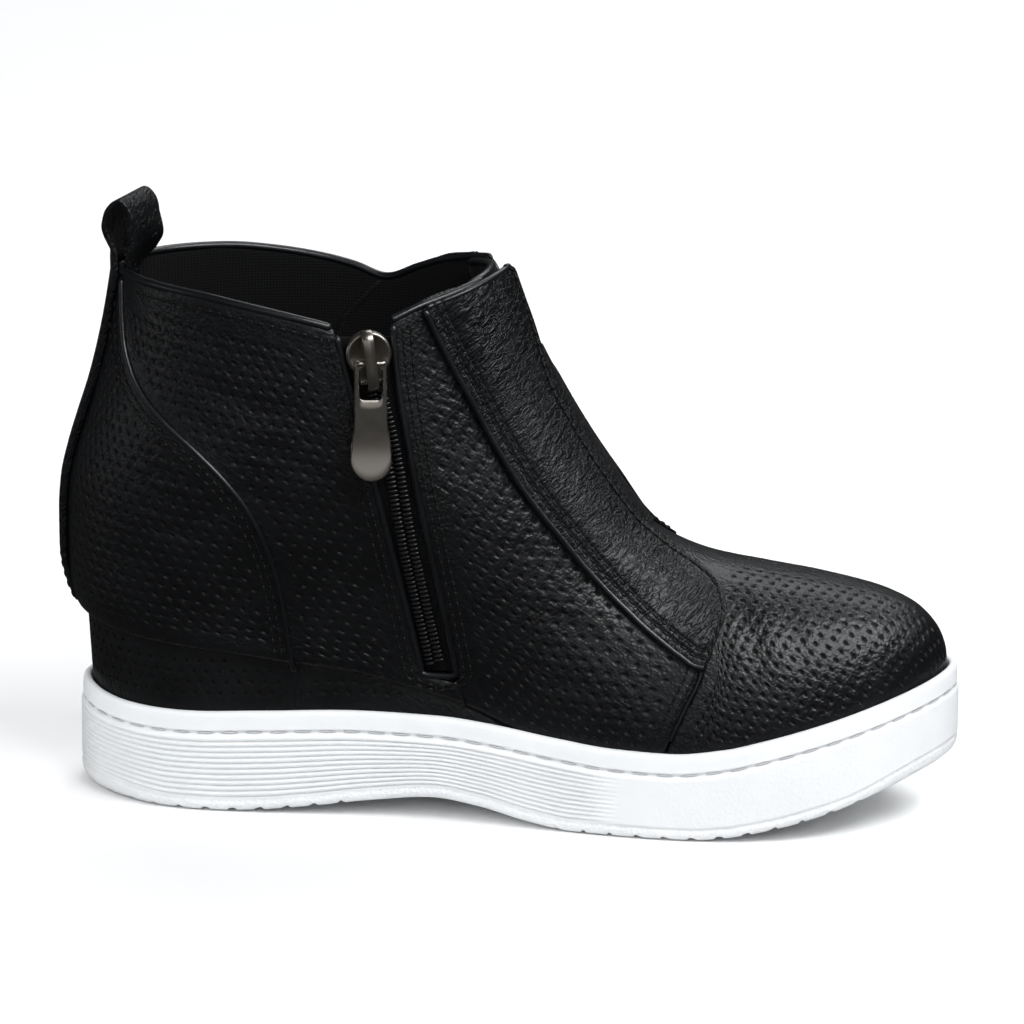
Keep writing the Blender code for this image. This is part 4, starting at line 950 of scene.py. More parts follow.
# %% Perforation tree
def perforation_tree():
    tree, given, result = new_tree("perforation", Hole_Share="Float", Depth="Float", Leather="Material")
    marked = add(tree, "GeometryNodeInputNamedAttribute", {"Name": "hole"}, data_type="BOOLEAN")
    slot_number = add(tree, "GeometryNodeInputMaterialIndex", {})
    outer = add(tree, "FunctionNodeCompare", {2: slot_number.outputs[0], 3: 0}, data_type="INT",
                operation="EQUAL")
    chosen = add(tree, "FunctionNodeBooleanMath", {0: marked.outputs[0], 1: outer.outputs[0]},
                 operation="AND")
    lip = add(tree, "GeometryNodeExtrudeMesh", {"Mesh": given["Geometry"], "Selection": chosen.outputs[0],
                                                "Offset Scale": 0.0, "Individual": True}, mode="FACES")
    narrow = add(tree, "GeometryNodeScaleElements", {"Geometry": lip.outputs["Mesh"],
                                                     "Selection": lip.outputs["Top"],
                                                     "Scale": given["Hole Share"]}, domain="FACE")
    down = add(tree, "ShaderNodeMath", {0: given["Depth"], 1: -1.0}, operation="MULTIPLY")
    sunk = add(tree, "GeometryNodeExtrudeMesh", {"Mesh": narrow.outputs[0], "Selection": lip.outputs["Top"],
                                                 "Offset Scale": down.outputs[0], "Individual": True},
               mode="FACES")
    taper = add(tree, "GeometryNodeScaleElements", {"Geometry": sunk.outputs["Mesh"],
                                                    "Selection": sunk.outputs["Top"], "Scale": 0.8},
                domain="FACE")
    # Marks the pit's floor and walls, which the leather paints near-black as shade down the hole.
    pit = add(tree, "FunctionNodeBooleanMath", {0: sunk.outputs["Top"], 1: sunk.outputs["Side"]},
              operation="OR")
    stored = add(tree, "GeometryNodeStoreNamedAttribute", {"Geometry": taper.outputs[0],
                                                           "Selection": pit.outputs[0], "Name": "pit",
                                                           "Value": 1.0}, data_type="FLOAT", domain="FACE")
    fine = add(tree, "GeometryNodeSubdivisionSurface", {"Mesh": stored.outputs[0], "Level": 1})
    soft = add(tree, "GeometryNodeSetShadeSmooth", {"Geometry": fine.outputs[0]})
    real = add(tree, "GeometryNodeRealizeInstances", {"Geometry": soft.outputs[0]})
    skin = add(tree, "GeometryNodeSetMaterial", {"Geometry": real.outputs[0], "Selection": outer.outputs[0],
                                                 "Material": given["Leather"]})
    tree.links.new(skin.outputs[0], result.inputs["Geometry"])
    return tree


perforation = perforation_tree()
print("perforation tree with", len(perforation.nodes), "nodes")


# %% Tiles of leather
def honeycomb(ribs, band):
    """Tiles between ribs (lists of points), in bands of even height from each rib's start."""
    runs = [run_of(rib) for rib in ribs]
    full = [int(max(math.floor(run[-1] / band - 0.35), 0)) for run in runs]
    last = len(ribs) - 1
    points, index = [], {}

    def corner_at(j, k, reach):
        if (j, k) not in index:
            index[j, k] = len(points)
            points.append([np.interp(reach, runs[j], ribs[j][:, c]) for c in range(3)])
        return index[j, k]

    for j in range(len(ribs)):
        for k in range(full[j] + 1):
            lean = 0.0 if k == 0 or j in (0, last) else band / 6 * (1 if (j - k) % 2 == 0 else -1)
            corner_at(j, k, k * band + lean)
        corner_at(j, "end", runs[j][-1])
    covered = [0] * last
    faces, whole = [], []
    for k in range(max(full)):
        starts = list(range(k % 2, last, 2))
        spans = [(0, 1)] * (k % 2) + [(a, min(a + 2, last)) for a in starts]
        for a, b in spans:
            ready = all(full[j] >= k + 1 for j in range(a, b + 1))
            if ready and all(covered[j] == k for j in range(a, b)):
                faces.append([index[j, k] for j in range(a, b + 1)]
                             + [index[j, k + 1] for j in range(b, a - 1, -1)])
                whole.append(b - a == 2 and k > 0)
                for j in range(a, b):
                    covered[j] = k + 1
    for j in range(last):
        left = [index[j, k] for k in range(covered[j], full[j] + 1)] + [index[j, "end"]]
        near = [index[j + 1, k] for k in range(covered[j], full[j + 1] + 1)] + [index[j + 1, "end"]]
        faces.append(left[:1] + near + left[:0:-1])
        whole.append(False)
    return np.array(points), faces, np.array(whole)


def centres_of(points, faces):
    return np.array([points[face].mean(axis=0) for face in faces])


def facing_out(points, faces):
    """Faces turned so that they point away from the shoe's inside."""
    turned = []
    for face in faces:
        spokes = points[face] - points[face[0]]
        n = np.cross(spokes, np.roll(spokes, -1, axis=0)).sum(axis=0)
        turned.append(face if n.dot(points[face].mean(axis=0) - INSIDE) > 0 else face[::-1])
    return turned


def nearest(points, path):
    """Distance of each point from a path of points."""
    return np.array([np.sqrt(((path - p) ** 2).sum(axis=1).min()) for p in points])


def leather_panel(name, points, faces, holes, material, thickness, share, depth, inner=None):
    """A perforated panel: the marked tiles get their pits, and the wall its inner face."""
    piece = mesh_piece(name, points, faces, material, inner or material)
    marks = piece.data.attributes.new("hole", "BOOLEAN", "FACE")
    marks.data.foreach_set("value", np.array(holes, bool))
    wall(piece, thickness, inner=1)
    pits = piece.modifiers.new("perforation", "NODES")
    pits.node_group = perforation
    set_inputs(pits, {"Hole Share": share, "Depth": depth * MM, "Leather": material})
    return piece


def weld_first(piece):
    """Joins the points that neighbouring parts of a panel share, before its other modifiers."""
    made = piece.modifiers.new("weld", "WELD")
    made.merge_threshold = 0.02 * MM
    piece.modifiers.move(len(piece.modifiers) - 1, 0)


print("panels ready")

# %% [markdown]
# ## The upper's lines
#
# The upper is cut as two quarters and a vamp. The counter at the heel stands proud of the quarter and ends in
# a piped edge that swings down from the pull loop to the sole. The zip opening runs through the inner
# quarter, and the vamp is sewn under the quarters in a slanted seam. The lines could be drawn on each panel
# by itself, but kept once, as side view curves, they serve the panels, the cords and the stitches alike.

# %% Lines of the upper
PIPING = [(44, -63.6), (50, -65.0), (60, -66.3), (72.7, -68.4), (84.7, -72.0), (94.2, -76.4), (104.3, -83.8),
          (112.9, -92.9), (119.7, -102.0), (126.3, -109.4), (132.5, -113.6), (141.5, -116.6), (162, -118.4)]
ZIP_REAR = [(38.0, -24.2), (46.2, -26.0), (105.7, -39.4), (154.0, -51.6)]
ZIP_FRONT = [(35.0, -13.2), (68.0, -19.5), (112.3, -28.6), (135.1, -32.7), (155.0, -34.6)]
CHAIN = [(47.9, -21.9), (84.4, -29.2), (112.3, -33.6), (144.5, -41.4)]
CORNER_FOOT, THROAT_END, SLOT_HALF, COUNTER_STEP = 16.0, 34.5, 15.0, 0.8
piping_x, zip_rear, zip_front = curve(PIPING), curve(ZIP_REAR), curve(ZIP_FRONT)
split = spline([(47.3, 22.0), (48.6, 27.0), (53.7, 39.0), (58.4, 50.5), (56.6, 60.0), (46.5, 75.0),
                (THROAT_END, float(ridge_z(THROAT_END)))], 160)
split[0, 1] = feather(split[0, 0])
TILE, BAND, DENSE = 3.9, 3.4, 140
GROUP_LENGTHS = (117.0, 13.5, 27.0, 36.0)
SLOT_START = RIDGE[0][0] + 0.4


def at_reach(path, reach):
    """Points of a path at given distances along it."""
    run = run_of(path)
    return np.stack([np.interp(reach, run, path[:, c]) for c in range(path.shape[1])], axis=-1)


def even_path(path, count=DENSE):
    return at_reach(path, np.linspace(0, run_of(path)[-1], count))


def slot_point(x):
    point, inwards = ridge_at(x)
    return point + inwards * front_depth(x, SLOT_HALF)


share_up = np.linspace(0, 1, DENSE)


def guide_arcs(table):
    at = curve(table)
    z = 44.0 + share_up * 110
    for _ in range(6):
        x = at(z)
        z = feather(x[0]) + (rim(x[-1]) - feather(x[0])) * share_up
    return arc_of(at(z), z)


slot_corner = slot_point(SLOT_START)
corner_foot = np.array([CORNER_FOOT, float(feather(CORNER_FOOT))])
corner_line = corner_foot + (slot_corner - corner_foot) * share_up[:, None]
split_wide = half_width(split[:, 0], split[:, 1], -1)
split_end = int(np.argmax((split_wide < SLOT_HALF) & (split[:, 1] > 70)))
seam_line = even_path(split[: split_end + 1])
arcs = [np.zeros(DENSE), guide_arcs(ZIP_REAR), guide_arcs(ZIP_FRONT),
        arc_of(corner_line[:, 0], corner_line[:, 1])]


def seam_at(z):
    """The vamp seam's x at a height."""
    return np.interp(z, seam_line[:, 1], seam_line[:, 0])


print("vamp seam from", seam_line[0].round(1), "to", seam_line[-1].round(1))


# %% Ribs of the quarters
def quarter_rib(k, t):
    """Side view points of a rib between two guides."""
    arc = arcs[k] * (1 - t) + arcs[k + 1] * t
    z = 45 + 110 * share_up
    for _ in range(8):
        x = heel_back(z) + arc_depth(arc, z)
        top = rim(x[-1]) if k < 2 else rim(x[-1]) * (1 - t) + slot_corner[1] * t
        z = feather(x[0]) + (top - feather(x[0])) * share_up
    return np.stack([heel_back(z) + arc_depth(arc, z), z], axis=1)


end_ridge = float(below_ridge(seam_line[-1:, 0], seam_line[-1:, 1])[1][0])


def instep_rib(t):
    """Side view points of a rib between the corner line and the vamp seam."""
    low = CORNER_FOOT + (seam_line[0, 0] - CORNER_FOOT) * t
    foot = np.array([low, float(feather(low))])
    top = slot_point(SLOT_START + (end_ridge - SLOT_START) * t)
    sides = corner_line * (1 - t) + seam_line * t
    foot_off = foot - sides[0]
    top_off = top - sides[-1]
    return sides + foot_off * (1 - share_up[:, None]) + top_off * share_up[:, None]


counts = [2 * int(round(length / TILE)) for length in GROUP_LENGTHS]
quarter_groups = [[quarter_rib(k, t) for t in np.linspace(0, 1, counts[k] + 1)] for k in range(3)]
quarter_groups.append([instep_rib(t) for t in np.linspace(0, 1, counts[3] + 1)])
print("ribs of a quarter", counts)

# %% [markdown]
# Worn or not, a soft upper never lies perfectly smooth. Creases form where the foot will bend: above the
# zip's foot, at the ankle behind the zip, and across the vamp behind the toes. Noise would scatter them
# evenly, so they are listed one by one, each a soft trough with a low ridge on both sides.

# %% Creases, one by one
SEAM_LAP = 0.55
CREASES = [  # side, depth, half width, side view points
    (-1, 0.42, 4.2, [(-104, 84), (-92, 92), (-80, 97)]),
    (-1, 0.38, 4.6, [(-98, 138), (-84, 130), (-70, 126), (-58, 125)]),
    (-1, 0.34, 4.0, [(-74, 117), (-62, 110), (-50, 106)]),
    (-1, 0.30, 3.6, [(-60, 82), (-50, 76), (-42, 73)]),
    (-1, 0.32, 3.8, [(-8, 120), (0, 108), (9, 98)]),
    (-1, 0.36, 4.2, [(12, 66), (24, 60), (37, 52)]),
    (-1, 0.28, 3.6, [(2, 52), (14, 46), (28, 42)]),
    (-1, 0.40, 4.0, [(66, 70), (73, 60), (76, 47)]),
    (-1, 0.30, 3.4, [(80, 69), (86, 60), (87, 50)]),
    (-1, 0.40, 2.2, [(-112, 112), (-104, 105), (-92, 102)]),
    (-1, 0.42, 2.2, [(-114, 106), (-105, 99), (-91, 97)]),
    (-1, 0.38, 2.2, [(-115, 100), (-104, 93), (-88, 92)]),
    (-1, 0.36, 2.3, [(-112, 92), (-100, 87), (-84, 87)]),
    (-1, 0.30, 2.2, [(-96, 124), (-82, 117), (-66, 113)]),
    (-1, 0.30, 2.2, [(-90, 116), (-76, 109), (-60, 104)]),
    (-1, 0.28, 2.2, [(-80, 104), (-68, 98), (-54, 94)]),
    (-1, 0.30, 2.0, [(-26, 124), (-16, 117), (-8, 115)]),
    (-1, 0.30, 2.0, [(-25, 114), (-14, 108), (-5, 107)]),
    (-1, 0.28, 2.2, [(-10, 90), (4, 84), (18, 80)]),
    (-1, 0.28, 2.2, [(-4, 72), (10, 66), (24, 64)]),
    (1, 0.42, 4.4, [(-100, 88), (-88, 95), (-76, 99)]),
    (1, 0.36, 4.4, [(-88, 134), (-72, 127), (-56, 125)]),
    (1, 0.34, 4.0, [(-40, 104), (-28, 96), (-18, 92)]),
    (1, 0.34, 4.2, [(8, 70), (22, 62), (36, 54)]),
    (1, 0.40, 4.0, [(66, 70), (73, 60), (76, 47)]),
    (1, 0.30, 3.4, [(82, 68), (88, 60), (90, 50)]),
]


def crease(x, z, side):
    """How far the leather is pushed out by the creases at side view points."""
    total = np.zeros(np.shape(x))
    for on, depth, wide, line in CREASES:
        if on != side:
            continue
        path = spline(line, 40)
        gap = np.full(np.shape(x), FAR)
        place = np.zeros(np.shape(x))
        for n, (a, b) in enumerate(path):
            d = np.hypot(x - a, z - b)
            place = np.where(d < gap, n / (len(path) - 1), place)
            gap = np.minimum(gap, d)
        r = gap / wide
        fade = np.sin(np.clip(place, 0.02, 0.98) * math.pi) ** 0.6
        total -= depth * fade * (1 - 1.3 * r ** 2) * np.exp(-r ** 2)
    return total


def skin(x, z, side, counter=True):
    """The finished outer face of the upper: the last, the counter's step, the seam's lap and the creases."""
    out = crease(x, z, side)
    if counter:
        out = out + COUNTER_STEP * smooth((piping_x(z) - x + 1.0) / 1.6)
        ahead = seam_at(z) - x
        out = out + SEAM_LAP * (1 - smooth(ahead / 9.0)) * (1 - smooth((z - 56) / 6)) * (x > 20)
    return surface(x, z, side) + outward(x, z, side) * out[..., None]


test_x = np.linspace(-110.0, 40.0, 7)
print("creases", len(CREASES), "deepest", round(float(crease(test_x, np.full(7, 90.0), -1).min()), 2), "mm")

# %% [markdown]
# ## Quarters
#
# Each quarter could be cut up at every line, but one panel from the heel seam to the vamp seam keeps the rows
# of holes running through. On the inner side it is split by the zip opening, so the tiles above the zip's
# foot are left out there. Holes stay clear of seams, the collar, the zip and whatever the flaps and the heel
# strap cover.

# %% What the flaps cover, and the clear margins
FLAP_BANDS = [(-5.6, 12.0, 21.2), (-3.0, 12.0, 20.4), (1.8, 12.0, 19.2), (6.0, 12.0, 18.6),
              (12.0, 12.0, 18.5), (18.0, 12.0, 18.3), (24.0, 12.0, 17.6), (30.0, 12.0, 16.8),
              (36.0, 12.0, 16.6), (43.0, 12.0, 17.4), (49.0, 12.0, 19.2), (54.0, 12.2, 20.9),
              (58.0, 13.0, 22.6), (61.5, 16.0, 24.0), (63.6, 19.5, 24.0), (65.0, 22.5, 17.0),
              (66.0, 24.5, 11.5)]
COUNTER_CLEAR, PIPING_CLEAR, SEAM_CLEAR, ZIP_CLEAR, RIM_CLEAR = 6.6, 4.0, 6.8, 8.2, 9.0
STRAP_CLEAR, STRAP_REACH, FLAP_CLEAR, FLAP_END, FOOT_CLEAR = 13.5, -100.0, 1.6, 66.0, 4.0
QUARTER_HOLE, QUARTER_PIT = 0.24, 0.6
flap_front = curve([(x, front) for x, front, depth in FLAP_BANDS])
flap_rear = curve([(x, depth) for x, front, depth in FLAP_BANDS])


print("flap bands", len(FLAP_BANDS))


# %% Where the quarters are punched
def lines_on(side):
    """The upper's lines as points in space."""
    z = np.linspace(42, 161, 240)
    zip_z = np.linspace(44, 153, 160)
    seam_z = np.linspace(24, 56, 60)
    found = {"piping": surface(piping_x(z), z, side), "seam": surface(seam_at(seam_z), seam_z, side)}
    if side < 0:
        found["zip"] = np.vstack([surface(zip_rear(zip_z), zip_z, side),
                                  surface(zip_front(zip_z), zip_z, side),
                                  surface(np.linspace(-25.0, -15.0, 20), np.full(20, 46.0), side)])
    return found


def holes_of(points, faces, whole, side):
    """Which whole tiles are punched."""
    centres = centres_of(points, faces)
    x, y, z = centres.T
    marks = whole.copy()
    lines = lines_on(side)
    behind = x < piping_x(z)
    marks &= nearest(centres, lines["piping"]) > np.where(behind, COUNTER_CLEAR, PIPING_CLEAR)
    marks &= nearest(centres, lines["seam"]) > SEAM_CLEAR
    if side < 0:
        marks &= nearest(centres, lines["zip"]) > ZIP_CLEAR
    marks &= z < rim(x) - RIM_CLEAR
    marks &= ~((np.abs(y) < STRAP_CLEAR) & (x < STRAP_REACH))
    depth, spot = below_ridge(x, z)
    marks &= ~((depth < flap_rear(spot) + FLAP_CLEAR) & (x < FLAP_END))
    marks &= z > feather(x) + FOOT_CLEAR
    return marks


print("lines to keep clear of", sorted(lines_on(-1)))

# %% Quarters
for side, name in ((-1, "quarter_inner"), (1, "quarter_outer")):
    parts, tags = [], []
    if side < 0:
        groups = [quarter_groups[0], quarter_groups[1], quarter_groups[2] + quarter_groups[3][1:]]
    else:
        groups = [quarter_groups[0] + quarter_groups[1][1:] + quarter_groups[2][1:] + quarter_groups[3][1:]]
    for n, group in enumerate(groups):
        flat = np.array(group)
        ribs = skin(flat[..., 0], flat[..., 1], side)
        if side < 0 and n == 1:
            ribs = [at_reach(rib, np.linspace(0, 2 * BAND, 20)) for rib in ribs]
        points, faces, whole = honeycomb(list(ribs), BAND)
        tags.append(holes_of(points, faces, whole, side))
        parts.append((points, facing_out(points, faces)))
    marks = np.concatenate(tags)
    piece = leather_panel(name, *joined(parts), marks, grained, WALL, QUARTER_HOLE, QUARTER_PIT, lining)
    weld_first(piece)
    finish_piece(piece, "black_grained_leather", "upper")
    print(name, "has", int(marks.sum()), "holes")

# %% [markdown]
# ## Vamp
#
# The vamp is the front of the upper, from the slanted seams over the toes down into the cup of the sole. It
# could be one grid from side to side, but then the rows of holes would drift to one side. Its tiles are
# counted from the centre line outwards instead, so the rows lie evenly on both sides of the toes.

# %% Vamp
VAMP_HOLE, VAMP_PIT, SPLIT_CLEAR, SOLE_CLEAR = 0.28, 0.65, 4.4, 2.6
BOW_END, TOE_POWER = 0.3, 1.6
toe_end = RIDGE[-1][0] - 0.03
foot_x = np.linspace(split[0, 0], toe_end, 400)
ridge_x = np.linspace(THROAT_END, toe_end, 400)
ridge_run = run_of(np.stack([ridge_x, centre_y(ridge_x), ridge_z(ridge_x)], axis=1))
count = 2 * int(round(ridge_run[-1] / TILE))
down_share = share_up[:, None]
even_split = even_path(split)[::-1]
bulge = even_split - (even_split[0] + (even_split[-1] - even_split[0]) * down_share)
vamp_parts, vamp_tags = [], []
for side in (-1, 1):
    foot_run = run_of(surface(foot_x, feather(foot_x), side))
    flat = []
    for u in np.linspace(0, 1, count + 1):
        low = np.interp(u * foot_run[-1], foot_run, foot_x)
        high = np.interp(u * ridge_run[-1], ridge_run, ridge_x)
        foot = np.array([low, float(feather(low))])
        top = np.array([high, float(ridge_z(high))])
        easing = smooth(u / BOW_END)
        straight = top + (foot - top) * down_share
        domed = top + (foot - top) * down_share ** TOE_POWER
        flat.append(straight * (1 - easing) + domed * easing + bulge * (1 - easing))
    flat = np.array(flat)
    ribs = skin(flat[..., 0], flat[..., 1], side, counter=False)
    ribs[:, 0, 1] = centre_y(flat[:, 0, 0])
    ribs[-1, :, 1] = centre_y(flat[-1, :, 0])
    points, faces, whole = honeycomb(list(ribs), BAND)
    centres = centres_of(points, faces)
    x, y, z = centres.T
    depth, spot = below_ridge(x, z)
    under_flap = (depth < flap_rear(np.minimum(spot, FLAP_END)) + FLAP_CLEAR) & (spot < FLAP_END)
    marks = whole & (nearest(centres, surface(split[:, 0], split[:, 1], side)) > SPLIT_CLEAR)
    marks &= ~(under_flap & (x < FLAP_END + 1.5))
    marks &= z > sole_top(x) + SOLE_CLEAR
    vamp_tags.append(marks)
    vamp_parts.append((points, facing_out(points, faces)))
marks = np.concatenate(vamp_tags)
vamp = leather_panel("vamp", *joined(vamp_parts), marks, grained, WALL, VAMP_HOLE, VAMP_PIT, lining)
weld_first(vamp)
finish_piece(vamp, "black_grained_leather", "upper")
print("vamp has", int(marks.sum()), "holes")

# %% [markdown]
# ## Wedge cover
#
# Under the heel the upper stands on a wedge that is wrapped in the same punched leather. It fills the cup at
# its foot and thins out forwards to nothing. A solid block could carry a painted pattern, but its rim would
# look painted too. So the cover is a sheet laid out with ribs from inside the cup up to the top edge, and it
# runs round the heel in one piece.

# %% Wedge cover
WEDGE_FRONT, WEDGE_INSET, WEDGE_TUCK, WEDGE_SEAM = 8.0, 1.5, 1.4, -63.8
WEDGE_HOLE, WEDGE_PIT, WEDGE_THICK = 0.19, 0.45, 1.2
WEDGE_LOW, WEDGE_HIGH, WEDGE_CLEAR = 2.2, 2.6, 4.0


def feather_ring():
    """Plan curve of the upper's lower edge, closed: heel, inner side, toe, outer side."""
    heel = -132.0
    for _ in range(20):
        heel = float(heel_back(feather(heel)))
    turn = np.linspace(0, math.pi, 321)
    xs = heel + (RIDGE[-1][0] - heel) * (1 - np.cos(turn)) / 2
    edges = []
    for side, order in ((-1, xs), (1, xs[-2:0:-1])):
        y = centre_y(order) + side * half_width(order, feather(order), side)
        edges.append(np.stack([order, y], axis=1))
    return np.vstack(edges)


lower_edge = feather_ring()
top_edges = edges_of(inset(lower_edge, WEDGE_INSET))


def wedge_rib(t, side):
    """Three points of the cover: deep in the cup, at the sole's rim and at the top edge."""
    x = top_edges[0][0, 0] + (WEDGE_FRONT - top_edges[0][0, 0]) * t
    foot = cup_edges[0][0, 0] + 0.1 + (WEDGE_FRONT - cup_edges[0][0, 0] - 0.1) * t
    top, low = float(wedge_top(x)) + WEDGE_TUCK, float(cup_floor(foot)) + GAP
    wide = edge_y(top_edges, x, side) if t else top_edges[0][0, 1]
    cup = edge_y(cup_edges, foot, side) if t else cup_edges[0][0, 1]
    edge = min(top - 2.7, max(low + 0.8, float(sole_top(foot)) + 0.5))
    return np.array([(foot, cup, low), (foot, cup, edge), (x, wide, top)])


wedge_path = []
for side, order in ((-1, np.linspace(1, 0, 500)), (1, np.linspace(0, 1, 500)[1:])):
    wedge_path += [(t ** 2, side) for t in order]
middle = np.array([wedge_rib(t, side)[1:3].mean(axis=0) for t, side in wedge_path])
wedge_run = run_of(middle)
wanted = np.linspace(0, wedge_run[-1], 2 * int(round(wedge_run[-1] / TILE)) + 1)
signed = np.interp(wanted, wedge_run, [t * side for t, side in wedge_path])
wedge_ribs = [even_path(wedge_rib(abs(s), -1 if s < 0 else 1), 120) for s in signed]
points, faces, whole = honeycomb(wedge_ribs, BAND)
x, y, z = centres_of(points, faces).T
marks = whole & (z > sole_top(x) + WEDGE_LOW) & (np.abs(x - WEDGE_SEAM) > WEDGE_CLEAR)
marks &= z < wedge_top(x) - WEDGE_HIGH
wedge = leather_panel("wedge_cover", points, facing_out(points, faces), marks, covering, WEDGE_THICK,
                      WEDGE_HOLE, WEDGE_PIT)
finish_piece(wedge, "black_wedge_cover", "wedge")
print("wedge cover has", int(marks.sum()), "holes")

# %% [markdown]
# ## Insole
#
# The insole is the cloth-covered sheet that the foot stands on, up on the wedge at the heel and down in the
# cup at the toes. A flat cut-out would do where nobody looks in, but it shows through the open collar. So it
# is made as a grid across the shoe, dished a little and with a soft edge.

# %% Insole
insole_edges = edges_of(inset(lower_edge, 4.2))
insole_plan = paired_stations(insole_edges, 90)
insole_half = len(insole_plan) // 2
insole_rows = []
for i in range(1, insole_half):
    a, b = insole_plan[i], insole_plan[len(insole_plan) - i]
    row = []
    for t in np.linspace(0, 1, 19):
        x, y = a * (1 - t) + b * t
        edge = min(t, 1 - t) * np.linalg.norm(b - a)
        dish = 0.7 * math.exp(-edge / 5.0) - 0.5 * math.exp(-(edge / 0.9) ** 2)
        row.append((x, y, float(feather(x)) + 3.0 + dish))
    insole_rows.append(row)
insole_rows = np.array(insole_rows)
insole = mesh_piece("insole_sheet", insole_rows.reshape(-1, 3), grid_faces(insole_rows), lining)
if insole.data.polygons[len(insole.data.polygons) // 2].normal.z < 0:
    insole.data.flip_normals()
wall(insole, 2.6)
rounded(insole, 0.5)
finish_piece(insole, "black_lining", "insole")

# %% [markdown]
# ## Front pieces
#
# Behind the open throat lies a tongue of the same punched leather, its top edge bound with a narrow strip. A
# smooth panel bridges the throat over it. Both could be cut from flat sheets and bent, but they lie over the
# front centre line, so they are built as grids at a small distance from the upper's surface.

# %% Tongue
FRONT_SHIFT = 2.5
TONGUE_HALF, TONGUE_LOW, TONGUE_HIGH, TONGUE_THICK = 21.0, 128.0, 152.5, 2.0
TONGUE_HOLE, TONGUE_PIT = 0.19, 0.5


def over_ridge(x_from, x_to, half, bands, columns, distance):
    """Points of a sheet laid across the front centre line at a distance from the surface."""
    rows = []
    for x in np.linspace(x_from, x_to, bands):
        point, inwards = ridge_at(x)
        ys = np.linspace(FRONT_SHIFT - half, FRONT_SHIFT + half, columns)
        spots = point + inwards * front_depth(x, np.abs(ys))[:, None]
        rows.append(np.where((ys < 0)[:, None], surface(spots[:, 0], spots[:, 1], -1),
                             surface(spots[:, 0], spots[:, 1], 1)))
    rows = np.array(rows)
    return rows + normals_of(rows) * distance


tongue_rows = over_ridge(-5.4, 50.0, TONGUE_HALF, 63, 23, -2.95)
points, faces, whole = honeycomb(list(tongue_rows.transpose(1, 0, 2)), BAND)
x, y, z = centres_of(points, faces).T
marks = whole & (z > TONGUE_LOW) & (z < TONGUE_HIGH) & (np.abs(y - FRONT_SHIFT) < TONGUE_HALF - 4)
tongue = leather_panel("tongue_sheet", points, facing_out(points, faces), marks, grained, TONGUE_THICK,
                       TONGUE_HOLE, TONGUE_PIT, lining)
finish_piece(tongue, "black_grained_leather", "tongue")
tongue_top = tongue_rows[0] - normals_of(tongue_rows)[0] * TONGUE_THICK / 2
tongue_edge = mesh_piece("tongue_binding", *cord_mesh(tongue_top, 1.3, 10), edging)
finish_piece(tongue_edge, "black_smooth_leather")

# %% Bridge panel
BRIDGE_HALF, BRIDGE_BANDS = 19.5, 60
bridge_rows = []
for t in np.linspace(0, 1, BRIDGE_BANDS):
    row = []
    for y in np.linspace(FRONT_SHIFT - BRIDGE_HALF, FRONT_SHIFT + BRIDGE_HALF, 41):
        x = 5.0 + (35.0 + 7.5 * float(smooth((y - 5) / 9))) * t
        point, inwards = ridge_at(x)
        spot = point + inwards * front_depth(x, abs(y))
        row.append(surface(spot[0], spot[1], -1 if y < 0 else 1))
    bridge_rows.append(row)
bridge_rows = np.array(bridge_rows)
bridge_rise = 1.9 - 1.1 * smooth((np.linspace(0, 1, BRIDGE_BANDS) - 0.76) / 0.23)
bridge_rows += normals_of(bridge_rows) * bridge_rise[:, None, None]
bridge = sheet("bridge_panel", bridge_rows, 0.9, creased, edge=0.3)
finish_piece(bridge, "black_smooth_leather", "bridge")

# %% [markdown]
# Two long flaps frame the panel, each sewn down along its rear edge and free at its front edge, which lifts a
# little off the shoe. They could be drawn as outlines and wrapped on, but bands along the centre line keep
# their edges smooth. The edges are folded over, so a cord rolls along each of them.

# %% Flaps
FLAP_THICK, FLAP_OUT_REAR, FLAP_OUT_FRONT, OUTER_SWEEP, TOP_SHIFT = 1.6, 2.2, 3.95, 10.0, 4.2
INNER_CORNER, OUTER_CORNER, OUTER_TRIM, ROLL_END = 2.0, 4.5, 10, 168
REAR_ROWS, FRONT_ROW = (2.1, 4.4), 2.0
flap_bands = np.r_[np.linspace(-5.6, 60.0, 150), np.linspace(60.3, 66.0, 30)]


def furrow(distance, rows):
    """A soft dip under each row of stitches."""
    return sum(-0.32 * np.exp(-((distance - row) / 0.5) ** 2) for row in rows)


